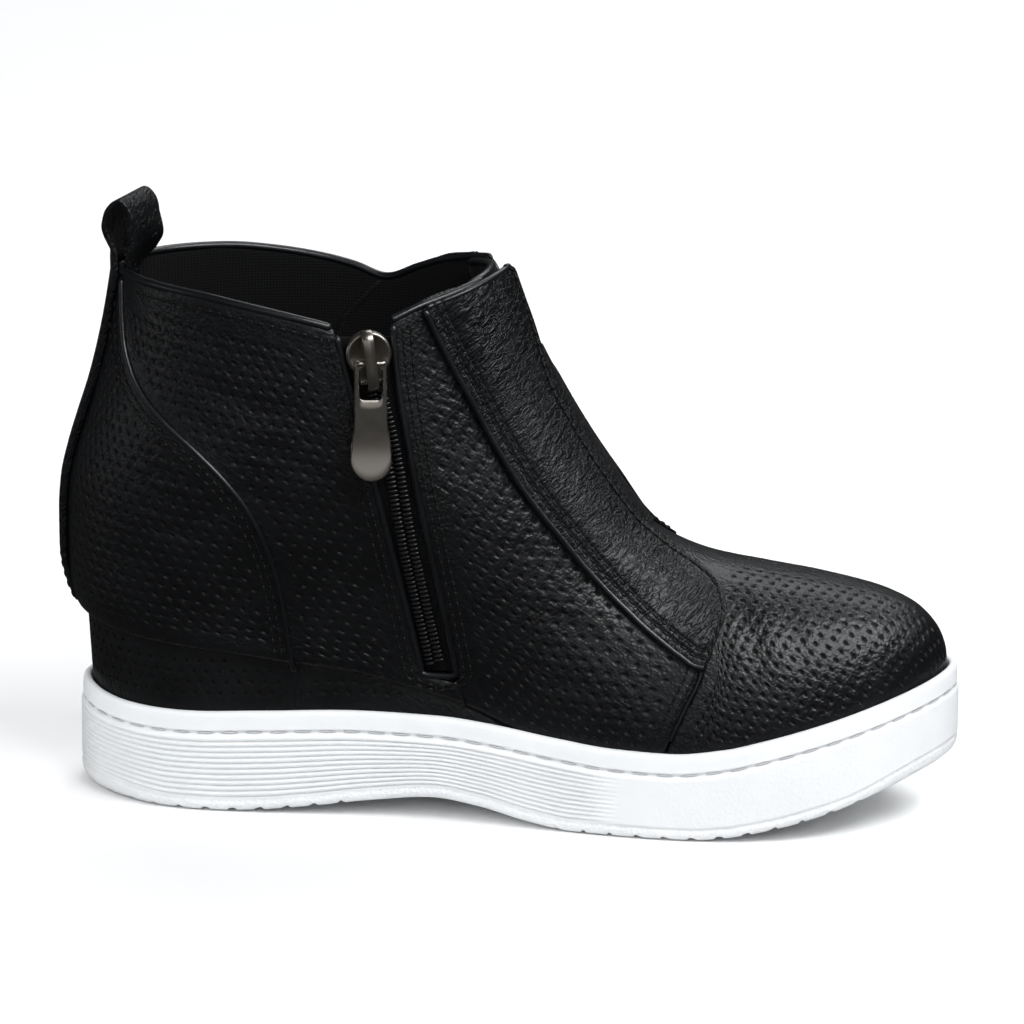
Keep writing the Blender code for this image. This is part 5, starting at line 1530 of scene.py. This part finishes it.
def flap_rows(side, columns=72):
    """Points of one flap: bands along the ridge, columns from its free front edge to its sewn rear edge."""
    rows, lift = [], []
    for x in flap_bands:
        point, inwards = ridge_at(x)
        top_share = 1 - smooth((x + 1) / 12)
        aside = FRONT_SHIFT * (1 - smooth((x - 50) / 10)) + TOP_SHIFT * top_share
        front = float(flap_front(x)) + side * aside
        if side > 0:
            front += OUTER_SWEEP * smooth((x - 28) / 22)
        corner_size = OUTER_CORNER if side > 0 else INNER_CORNER
        from_top = min((x - flap_bands[0]) * 1.8, corner_size)
        front += corner_size - math.sqrt(corner_size ** 2 - (corner_size - from_top) ** 2)
        start = float(front_depth(x, front))
        depth = max(float(flap_rear(x)), start + 1.5)
        r = float(ridge_round(x))
        turn = np.linspace(math.acos(1 - min(start / r, 1)), math.acos(1 - min(depth / r, 1)), columns)
        spots = point + inwards * (r * (1 - np.cos(turn)))[:, None]
        row = surface(spots[:, 0], spots[:, 1], side)
        share = (1 - smooth((x - 40) / 13)) * (1 + (0.5 if side < 0 else -0.95) * top_share)
        raised = 1 - smooth((np.abs(row[:, 1]) - 23.5) / 8.0)
        run = run_of(row)
        sewn = furrow(run[-1] - run, REAR_ROWS) + furrow(run, (FRONT_ROW,))
        end = 1 - smooth((x - 62) / 3)
        rows.append(row)
        lift.append(FLAP_OUT_REAR + (FLAP_OUT_FRONT - FLAP_OUT_REAR) * raised * share + sewn * end)
    rows = np.array(rows)
    out = outward(rows[..., 0], rows[..., 2], side)
    return rows + out * np.array(lift)[..., None]


flaps, rolls = {}, []
for side, name in ((-1, "flap_inner"), (1, "flap_outer")):
    flaps[side] = flap_rows(side)
    flap = sheet(name, flaps[side], FLAP_THICK, creased, edge=0.5)
    finish_piece(flap, "black_smooth_leather", "flap_medial" if side < 0 else "flap_lateral")
    flap_out = normals_of(flaps[side])
    rear_edge = flaps[side][:, -1]
    behind = unit(rear_edge - flaps[side][:, -4])
    rolls.append(cord_mesh((rear_edge + behind * 0.55 - flap_out[:, -3] * 0.95)[:ROLL_END], 1.05, 12))
    rolls.append(cord_mesh((flaps[side][:, 0] - flap_out[:, 2] * 0.72)[2:-1], 0.62, 10))
    top_edge = flaps[side][0] - flap_out[0] * 0.8
    rolls.append(cord_mesh(top_edge[OUTER_TRIM if side > 0 else 0:], 1.0, 10))
roll = mesh_piece("flap_rolls", *joined(rolls), edging)
finish_piece(roll, "black_smooth_leather")

# %% [markdown]
# ## Heel strap and pull loop
#
# One long strap runs up the back of the heel, stands up over the collar as a pull loop and goes down inside
# again, with its two layers a little apart on the outer side. A curve with a flat profile could make it, but
# it would twist at the bends, so it is one grid of points along its whole way, with rounded edges.

# %% Heel strap
STRAP_HALF, STRAP_THICK, STRAP_FOOT, STRAP_LEATHER = 10.4, 1.0, 57.8, 1.6
LOOP_TWIST, LOOP_OPEN, LOOP_SPLAY, STRAP_TUCK = 0.25, 1.4, 2.6, 1.45
LOOP = [(-122.9, 163.4), (-122.6, 168.2), (-121.7, 174.0), (-120.4, 178.6), (-117.4, 181.1), (-114.8, 178.8),
        (-113.8, 174.0), (-115.4, 168.6), (-118.2, 163.4)]
across = np.linspace(-STRAP_HALF, STRAP_HALF, 25)


def on_heel(z, distance):
    """A row of the strap across the heel at a height."""
    depth = np.linspace(0.0, 24.0, 241)
    row = []
    for y in across:
        reach = half_width(heel_back(z) + depth, np.full(241, z), -1 if y < 0 else 1)
        row.append((float(heel_back(z) + np.interp(abs(y), reach, depth)), y, z))
    row = np.array(row)
    turn = np.gradient(row[:, :2], axis=0)
    row[:, :2] += unit(np.stack([-turn[:, 1], turn[:, 0]], axis=1)) * distance
    return row


collar_top = float(rim(-122.0))
strap_out = COUNTER_STEP + GAP + 0.15 + STRAP_THICK / 2
strap_rows = [on_heel(z, strap_out - STRAP_TUCK * (1 - smooth((z - 57.0) / 16)))
              for z in np.linspace(STRAP_FOOT, collar_top - 1.0, 60)]
bend = on_heel(collar_top, 0.0)[:, 0] - heel_back(collar_top)
for t, (x, z) in zip(np.linspace(-1, 1, 64), spline(LOOP, 64)):
    follow = smooth((abs(t) - 0.45) / 0.5)
    opened = (LOOP_OPEN + LOOP_SPLAY * across / STRAP_HALF) * smooth((t - 0.4) / 0.45)
    loop_x = x + bend * follow + LOOP_TWIST * across * (1 - follow) + opened
    strap_rows.append(np.column_stack([loop_x, across, np.full(len(across), z)]))
for z in np.linspace(collar_top - 1.0, collar_top - 9.0, 6):
    strap_rows.append(on_heel(z, COUNTER_STEP - WALL - GAP - 0.3 - STRAP_THICK / 2))
strap_rows = np.array(strap_rows)
strap = sheet("pull_strap", strap_rows, STRAP_LEATHER, creased, offset=0.0, edge=0.35)
finish_piece(strap, "black_smooth_leather", "heel_strap")

# %% [markdown]
# ## Piping, binding and folded edges
#
# A cut edge of leather is never left bare. The counter's front edge has a thin piping, the collar is bound
# with a folded strip and the zip's edges are turned in. The vamp, the wedge cover and the lining show a low
# ridge at their seams. Folding the sheets themselves would be hard to control, and round cords along the
# edges show the same line of light.

# %% Piping
def on_skin(x, z, side, out):
    return skin(x, z, side) + outward(x, z, side) * out


def off_last(x, z, side, out):
    return surface(x, z, side) + outward(x, z, side) * out


z = np.linspace(44.5, 158.5, 150)
piping_parts = [cord_mesh(off_last(piping_x(z), z, side, 0.62), 0.85) for side in (-1, 1)]
piping = mesh_piece("counter_piping", *joined(piping_parts), edging)
finish_piece(piping, "black_smooth_leather")

# %% Collar binding
COLLAR_Z = 160.0
binding_parts = []
corner_x = float(slot_corner[0])
corner_rise = slot_corner[1] - rim(corner_x)
for side in (-1, 1):
    spans = [(-120.6, -51.9), (-34.4, corner_x)] if side < 0 else [(-120.6, corner_x)]
    for span in spans:
        arc = np.linspace(*(float(arc_of(end, COLLAR_Z)) for end in span), 120)
        x = heel_back(COLLAR_Z) + arc_depth(arc, COLLAR_Z)
        z = rim(x) + corner_rise * smooth((x - corner_x + 12) / 12)
        path = on_skin(x, z, side, -1.05)
        path[:, 2] -= 0.25
        binding_parts.append(cord_mesh(path, 1.3, 12))
binding = mesh_piece("collar_binding", *joined(binding_parts), edging)
finish_piece(binding, "black_smooth_leather")


# %% Zip edges
def zip_u(distance, low=46.4, squash=0.62, power=1.0):
    """Side view path down the zip's rear edge, round its foot and up its front edge."""
    z = np.linspace(149.6, low, 110)
    rear = np.stack([zip_rear(z) - distance, z], axis=1)
    front = np.stack([zip_front(z) + distance, z + 0.03 * (z - low)], axis=1)[::-1]
    centre = (rear[-1] + front[0]) / 2
    reach = (front[0, 0] - rear[-1, 0]) / 2
    turn = np.linspace(math.pi, 2 * math.pi, 26)[1:-1]
    wide = np.sign(np.cos(turn)) * np.abs(np.cos(turn)) ** power
    deep = -np.abs(np.sin(turn)) ** power * squash
    foot = np.stack([centre[0] + reach * wide, centre[1] + reach * deep], axis=1)
    return np.vstack([rear, foot, front])


zip_fold = zip_u(0.0, 46.4, 0.4, 0.5)
zip_parts = [cord_mesh(on_skin(zip_fold[:, 0], zip_fold[:, 1], -1, -0.8), 1.05)]
x, z = np.linspace(-15.6, -12.4, 16), np.linspace(43.0, 35.4, 16)
zip_parts.append(cord_mesh(on_skin(x, z, -1, 0.05), 0.45, 8))
zip_edges = mesh_piece("zip_edges", *joined(zip_parts), edging)
finish_piece(zip_edges, "black_smooth_leather")

# %% Ridges at the seams
seam_parts = []
for side in (-1, 1):
    z = np.linspace(30.0, 55.0, 40)
    seam_parts.append(cord_mesh(off_last(seam_at(z), z, side, 0.15), 0.55, 8))
    heel_x = top_edges[0][0, 0]
    seam_wedge = wedge_rib((WEDGE_SEAM - heel_x) / (WEDGE_FRONT - heel_x), side)
    seam_parts.append(cord_mesh(even_path(seam_wedge[1:3], 20), 0.45, 8))
seams = mesh_piece("seam_edges", *joined(seam_parts), edging)
finish_piece(seams, "black_smooth_leather")

z = np.linspace(112.0, 148.6, 40)
x = np.interp(z, (112.0, 136.0, 148.6), (-68.0, -58.0, -46.4))
lining_seam = mesh_piece("lining_seam", *cord_mesh(off_last(x, z, 1, -WALL - 0.1), 0.7, 8), lining)
finish_piece(lining_seam, "black_lining")

# %% [markdown]
# ## Sewing the upper
#
# The seams of the real shoe show as rows of short black stitches: one row under the collar, double rows along
# the zip, the vamp seam, behind the piping and along the flaps' rear edges, and single rows at their front
# edges, on the strap and across the bridge panel's foot. Between two stitches the needle leaves a dent, and a
# dark matte bead there paints the dent's shade. Drawn lines would lie flat, so each row is a path on the
# finished surface, cut into even steps, and the stitch tree sews both the stitches and the beads of shade.

# %% Rows of stitches
STITCH_PITCH, STITCH_SIZE, NEEDLE_SIZE, STRAP_SEWN = 3.4, (2.5, 0.85, 0.8), (0.85, 0.85, 0.3), 58
row_spots, row_runs, row_outs, needle_spots, needle_outs = [], [], [], [], []


def sew_path(path, outs):
    """Adds a row along a path with its outward directions, and painted needle shade after each stitch."""
    places = along(path, STITCH_PITCH, STITCH_PITCH / 2)
    row_spots.append(at_place(path, places))
    row_runs.append(at_place(np.gradient(path, axis=0), places))
    row_outs.append(at_place(outs, places))
    between = (places[:-1] + places[1:]) / 2
    needle_spots.append(at_place(path, between))
    needle_outs.append(at_place(outs, between))


def sew_on_skin(x, z, side):
    outs = outward(x, z, side)
    sew_path(skin(x, z, side) + outs * 0.12, outs)


def sidestep(x, z, distance):
    """A side view path moved to its left by a distance."""
    run = unit(np.gradient(np.stack([x, z], axis=1), axis=0))
    return x - run[:, 1] * distance, z + run[:, 0] * distance


print("stitch pitch", STITCH_PITCH, "mm")

# %% Stitches of the upper
for side in (-1, 1):
    z = np.linspace(49.5, 152.0, 160)
    for distance in (2.4, 4.5):
        sew_on_skin(*sidestep(piping_x(z), z, distance), side)
    spans = [(-113.0, -55.0), (-31.0, -14.0)] if side < 0 else [(-113.0, -14.0)]
    for start, stop in spans:
        x = np.linspace(start, stop, 90)
        sew_on_skin(x, rim(x) - 4.0, side)
    z = np.linspace(27.5, 53.0, 40)
    for distance in (1.8, 4.2):
        sew_on_skin(*sidestep(seam_at(z), z, distance), side)
    rows = flaps[side]
    outs = normals_of(rows)
    for step, distance in ((-1, REAR_ROWS[0]), (-1, REAR_ROWS[1]), (1, FRONT_ROW)):
        path, out = [], []
        for line, turned in zip(rows[:, ::step], outs[:, ::step]):
            run = run_of(line)
            if run[-1] < distance + 2.5:
                continue
            path.append([np.interp(distance, run, line[:, c]) for c in range(3)])
            out.append([np.interp(distance, run, turned[:, c]) for c in range(3)])
        path, out = np.array(path), np.array(out)
        sew_path(path + out * 0.1, out)
for distance in (2.6, 4.8):
    path = zip_u(distance)
    sew_on_skin(path[:, 0], path[:, 1], -1)
bridge_outs = normals_of(bridge_rows)
sew_path(bridge_rows[-4] + bridge_outs[-4] * 0.1, bridge_outs[-4])
strap_sewn = strap_rows[:STRAP_SEWN]
strap_outs = normals_of(strap_sewn)
for column in (2, len(across) - 3):
    sew_path(strap_sewn[:, column] + strap_outs[:, column] * STRAP_LEATHER / 2, strap_outs[:, column])
rows_sewn = sew("upper_stitches", np.vstack(row_spots), np.vstack(row_runs), np.vstack(row_outs),
                *STITCH_SIZE, thread_black)
finish_piece(rows_sewn, "black_smooth_leather")
needle_at, needle_out = np.vstack(needle_spots), np.vstack(needle_outs)
# Dark matte beads between the stitches, painted shade for the needle dents.
needle_shade_beads = sew("painted_needle_shade", needle_at - needle_out * 0.05, np.roll(needle_out, 1, axis=1), needle_out,
              *NEEDLE_SIZE, needle_shade_finish)
finish_piece(needle_shade_beads, "black_smooth_leather")
print("stitches in the upper", sum(len(s) for s in row_spots))

# %% [markdown]
# ## Zip
#
# The zip has a woven tape, a nylon coil down the middle, a slider with a bail and a long pull tab. A coil
# could be drawn as a spiral, but only its rungs show, and they repeat, so the stitch tree is used again with
# the bead lying across.

# %% Tape
TAPE_DEPTH = 2.9
tape_z = np.linspace(45.0, float(rim(-45.0)) - 1.2, 90)
tape_rows = []
for z in tape_z:
    xs = np.linspace(float(zip_rear(z)) - 5.0, float(zip_front(z)) + 5.0, 24)
    tape_rows.append(surface(xs, np.full(24, z), -1))
tape_rows = np.array(tape_rows)
tape_rows -= normals_of(tape_rows) * TAPE_DEPTH
tape = sheet("zip_tape_cloth", tape_rows, 0.8, tape_cloth, edge=0.2)
finish_piece(tape, "black_zip_tape", "zip_tape")

# %% Coil
CHAIN_STEPS, COIL_PITCH, COIL_HALF, COIL_DEPTH = 300, 1.4, 1.55, 1.35
chain_x = curve(CHAIN)
chain_z = np.linspace(48.2, 133.5, CHAIN_STEPS)
chain_path = surface(chain_x(chain_z), chain_z, -1)
chain_out = outward(chain_x(chain_z), chain_z, -1)
chain_side = np.cross(unit(np.gradient(chain_path, axis=0)), chain_out)
coil_spots, coil_runs, coil_outs = [], [], []
for column, offset in ((-1, 0.0), (1, 0.5)):
    line = chain_path + chain_side * column * COIL_HALF - chain_out * COIL_DEPTH
    places = along(line, COIL_PITCH)
    places = np.clip(places + offset * CHAIN_STEPS / len(places), 0, CHAIN_STEPS - 1)
    coil_spots.append(at_place(line, places))
    coil_runs.append(at_place(chain_side, places))
    coil_outs.append(at_place(chain_out, places))
coil = sew("zip_coil", np.vstack(coil_spots), np.vstack(coil_runs), np.vstack(coil_outs), 3.4, 1.15, 1.5,
           coil_black)
finish_piece(coil, "black_zip_coil", "zip_chain")

# %% [markdown]
# The slider is cast metal with a rounded rim, a bail bridges its face, and the pull tab swings on the bail by
# a bar across its window. They could be cut with Booleans and bevelled, but stacked outlines keep the rims
# even, so plate and tab are stacks of shrunken outlines and the bail is a strip swept along an arch.

# %% Shapes of cast metal
SLIDER_Z, SLIDER_LEAN, SLIDER_RADIUS, SLIDER_FOOT = 142.4, math.radians(7.0), 6.8, 9.0
SLIDER_LOW, SLIDER_RISE = -2.4, 2.0


def slider_frame():
    """Middle of the zip slider on the surface, with its across, down and outward directions."""
    x = float(chain_x(SLIDER_Z))
    step = 2.0
    spot = surface(x, SLIDER_Z, -1)
    ahead = surface(x + step, SLIDER_Z, -1) - surface(x - step, SLIDER_Z, -1)
    above = surface(x, SLIDER_Z + step, -1) - surface(x, SLIDER_Z - step, -1)
    out = unit(np.cross(ahead, above))
    level = np.array([ahead[0], ahead[1], 0.0])
    level = unit(level - out * level.dot(out))
    down = -np.cross(level, out)
    return spot, level, down if down[2] < 0 else -down, out


def arc_points(centre, radius, start, stop, count):
    turn = np.radians(np.linspace(start, stop, count))
    return [(centre[0] + radius * math.cos(t), centre[1] + radius * math.sin(t)) for t in turn]


def placed(points, spot, first, second, third):
    p = np.array(points, float)
    return spot + p[:, :1] * first + p[:, 1:2] * second + p[:, 2:3] * third


def stacked(outlines, heights):
    """A closed body from outlines of equal length at rising heights, its ends capped."""
    size = len(outlines), len(outlines[0])
    points = [(a, b, h) for ring_line, h in zip(outlines, heights) for a, b in ring_line]
    return np.array(points, float), ring_faces(*size) + cap_faces(*size)


def shrunk(line, distance):
    """A closed outline moved inwards by a distance."""
    p = np.array(line, float)
    n = -inward_of(p)
    if np.sum((p - p.mean(axis=0)) * n) > 0:
        n = -n
    return p + n * distance


def outward_faces(points, faces):
    """Faces turned outwards on a closed body."""
    volume = 0.0
    for face in faces:
        for a, b in zip(face[1:-1], face[2:]):
            volume += np.dot(points[face[0]], np.cross(points[a], points[b]))
    return faces if volume > 0 else [f[::-1] for f in faces]


zip_spot, level, down, out = slider_frame()
print("slider at", zip_spot.round(1))

# %% Slider
lean_across = level * math.cos(SLIDER_LEAN) - down * math.sin(SLIDER_LEAN)
lean_down = down * math.cos(SLIDER_LEAN) + level * math.sin(SLIDER_LEAN)
plate = arc_points((0, 0), SLIDER_RADIUS, 40, -220, 49)
plate += [(-4.6, 6.6), (-4.2, 7.8), (-3.4, SLIDER_FOOT), (3.4, SLIDER_FOOT), (4.2, 7.8), (4.6, 6.6)]
levels = [(0.4, SLIDER_LOW), (0.0, SLIDER_LOW + 0.4), (0.0, 0.9), (0.15, 1.25), (0.5, 1.52), (0.9, 1.6),
          (1.15, 1.52), (1.3, 1.4)]
points, faces = stacked([shrunk(plate, d) for d, h in levels], [h for d, h in levels])
plate_spot = zip_spot - lean_down * SLIDER_RISE
slider_parts = [(placed(points, plate_spot, lean_across, lean_down, out), faces)]
arch = [(-8.7, 0.9), (-8.9, 2.6), (-8.4, 4.0), (-7.2, 5.0), (-5.2, 5.4), (0.0, 5.5), (4.6, 5.4), (6.6, 5.0),
        (7.8, 4.0), (8.2, 2.6), (8.1, 0.9)]
arch = spline(arch, 44)
arch_run = unit(np.gradient(arch, axis=0))
arch_up = np.stack([-arch_run[:, 1], arch_run[:, 0]], axis=1)
if arch_up[22, 1] < 0:
    arch_up = -arch_up
strip = [(-1.75, -0.3), (-1.75, 0.3), (-1.35, 0.6), (1.35, 0.6), (1.75, 0.3), (1.75, -0.3), (1.35, -0.6),
         (-1.35, -0.6)]
bail_points = np.array([(a, *(spot + lift * b)) for spot, lift in zip(arch, arch_up) for a, b in strip])
bail_faces = ring_faces(len(arch), len(strip)) + cap_faces(len(arch), len(strip))
slider_parts.append((placed(bail_points, zip_spot, lean_across, lean_down, out), bail_faces))
slider_parts = [(p, outward_faces(p - p.mean(axis=0), f)) for p, f in slider_parts]
slider = mesh_piece("slider_body", *joined(slider_parts), gunmetal)
rounded(slider, 0.12, 2)
finish_piece(slider, "gunmetal", "zip_slider")

# %% Outlines of the pull tab
AXIS_DOWN, AXIS_OUT, BAR_RADIUS = 0.6, 3.15, 1.05
TAB_LENGTH, TAB_NECK, TAB_ROUND, TAB_THICK, WINDOW_HALF, WINDOW_LENGTH = 34.7, 4.9, 6.1, 1.5, 3.3, 10.6
axis = zip_spot + lean_down * AXIS_DOWN + out * AXIS_OUT
centre = TAB_LENGTH - TAB_ROUND
tab_side = [(TAB_NECK - 0.8, -0.9), (TAB_NECK, 0.1)]
tab_side += [(TAB_NECK, y) for y in np.linspace(1.5, centre - 12.0, 12)]
tab_side += [(TAB_NECK + (TAB_ROUND - TAB_NECK) * float(smooth(t)), centre - 12.0 + 10.0 * t)
             for t in np.linspace(0.12, 1, 8)]
tab_outline = tab_side + arc_points((0, centre), TAB_ROUND, -8, 188, 33)
tab_outline += [(-a, b) for a, b in tab_side[::-1]]
tab_outline = even_path(np.array(tab_outline + tab_outline[:1]), 121)[:-1]
hole = [(0.0, BAR_RADIUS), (WINDOW_HALF - 0.4, BAR_RADIUS), (WINDOW_HALF, BAR_RADIUS + 0.4)]
hole += [(WINDOW_HALF, y) for y in np.linspace(2.5, WINDOW_LENGTH - 1.4, 6)]
hole += arc_points((WINDOW_HALF - 1.2, WINDOW_LENGTH - 1.2), 1.2, 0, 90, 6)
hole += [(-a, b) for a, b in hole[::-1] if a > 0]
hole = even_path(np.array(hole + hole[:1]), 121)[:-1]


def matched(line):
    """The outline turned to start at its top middle and to run the same way round."""
    start = int(np.argmin(np.abs(line[:, 0]) * 3 + line[:, 1]))
    turned = np.roll(line, -start, axis=0)
    return turned if turned[5, 0] > 0 else np.roll(turned[::-1], 1, axis=0)


tab_outline, hole = matched(tab_outline), matched(hole)
half_thick = TAB_THICK / 2
print("tab outline", len(tab_outline), "points, window", len(hole))


# %% Pull tab
def tab_bend(line, height):
    """Points of the tab at a height; its lower end bends outwards a little."""
    lift = 0.012 * np.maximum(line[:, 1] - 22.0, 0) ** 2
    return np.column_stack([line, lift + height])


rings = [(hole * (1 - t) + tab_outline * t, half_thick) for t in np.linspace(0, 1, 9)[1:-1]]
front_rings = [(hole, half_thick - 0.25), (shrunk(hole, -0.25), half_thick)] + rings
front_rings += [(shrunk(tab_outline, 0.35), half_thick), (shrunk(tab_outline, 0.1), half_thick - 0.12),
                (tab_outline, half_thick - 0.4)]
tab_loops = [tab_bend(line, h) for line, h in front_rings]
tab_loops += [tab_bend(line, -h) for line, h in front_rings[::-1]]
tab_plate = np.vstack(tab_loops), ring_faces(len(tab_loops), len(hole), closed=True)
bar_path = [(a, 0.0, 0.0) for a in np.linspace(-TAB_NECK + 0.3, TAB_NECK - 0.3, 14)]
tab_bar = cord_mesh(bar_path, BAR_RADIUS, 16)
tab_parts = [(placed(p, axis, level, down, out), f) for p, f in (tab_plate, tab_bar)]
tab_parts = [(p, outward_faces(p - p.mean(axis=0), f)) for p, f in tab_parts]
tab = mesh_piece("pull_tab_plate", *joined(tab_parts), gunmetal)
finish_piece(tab, "gunmetal", "zip_pull", body="pull_tab")

# %% [markdown]
# ## Last look
#
# The last cell counts the pieces and their triangles.

# %% Pieces and triangles
print("pieces", len(made_pieces), "triangles", sum(n for _, n in made_pieces))
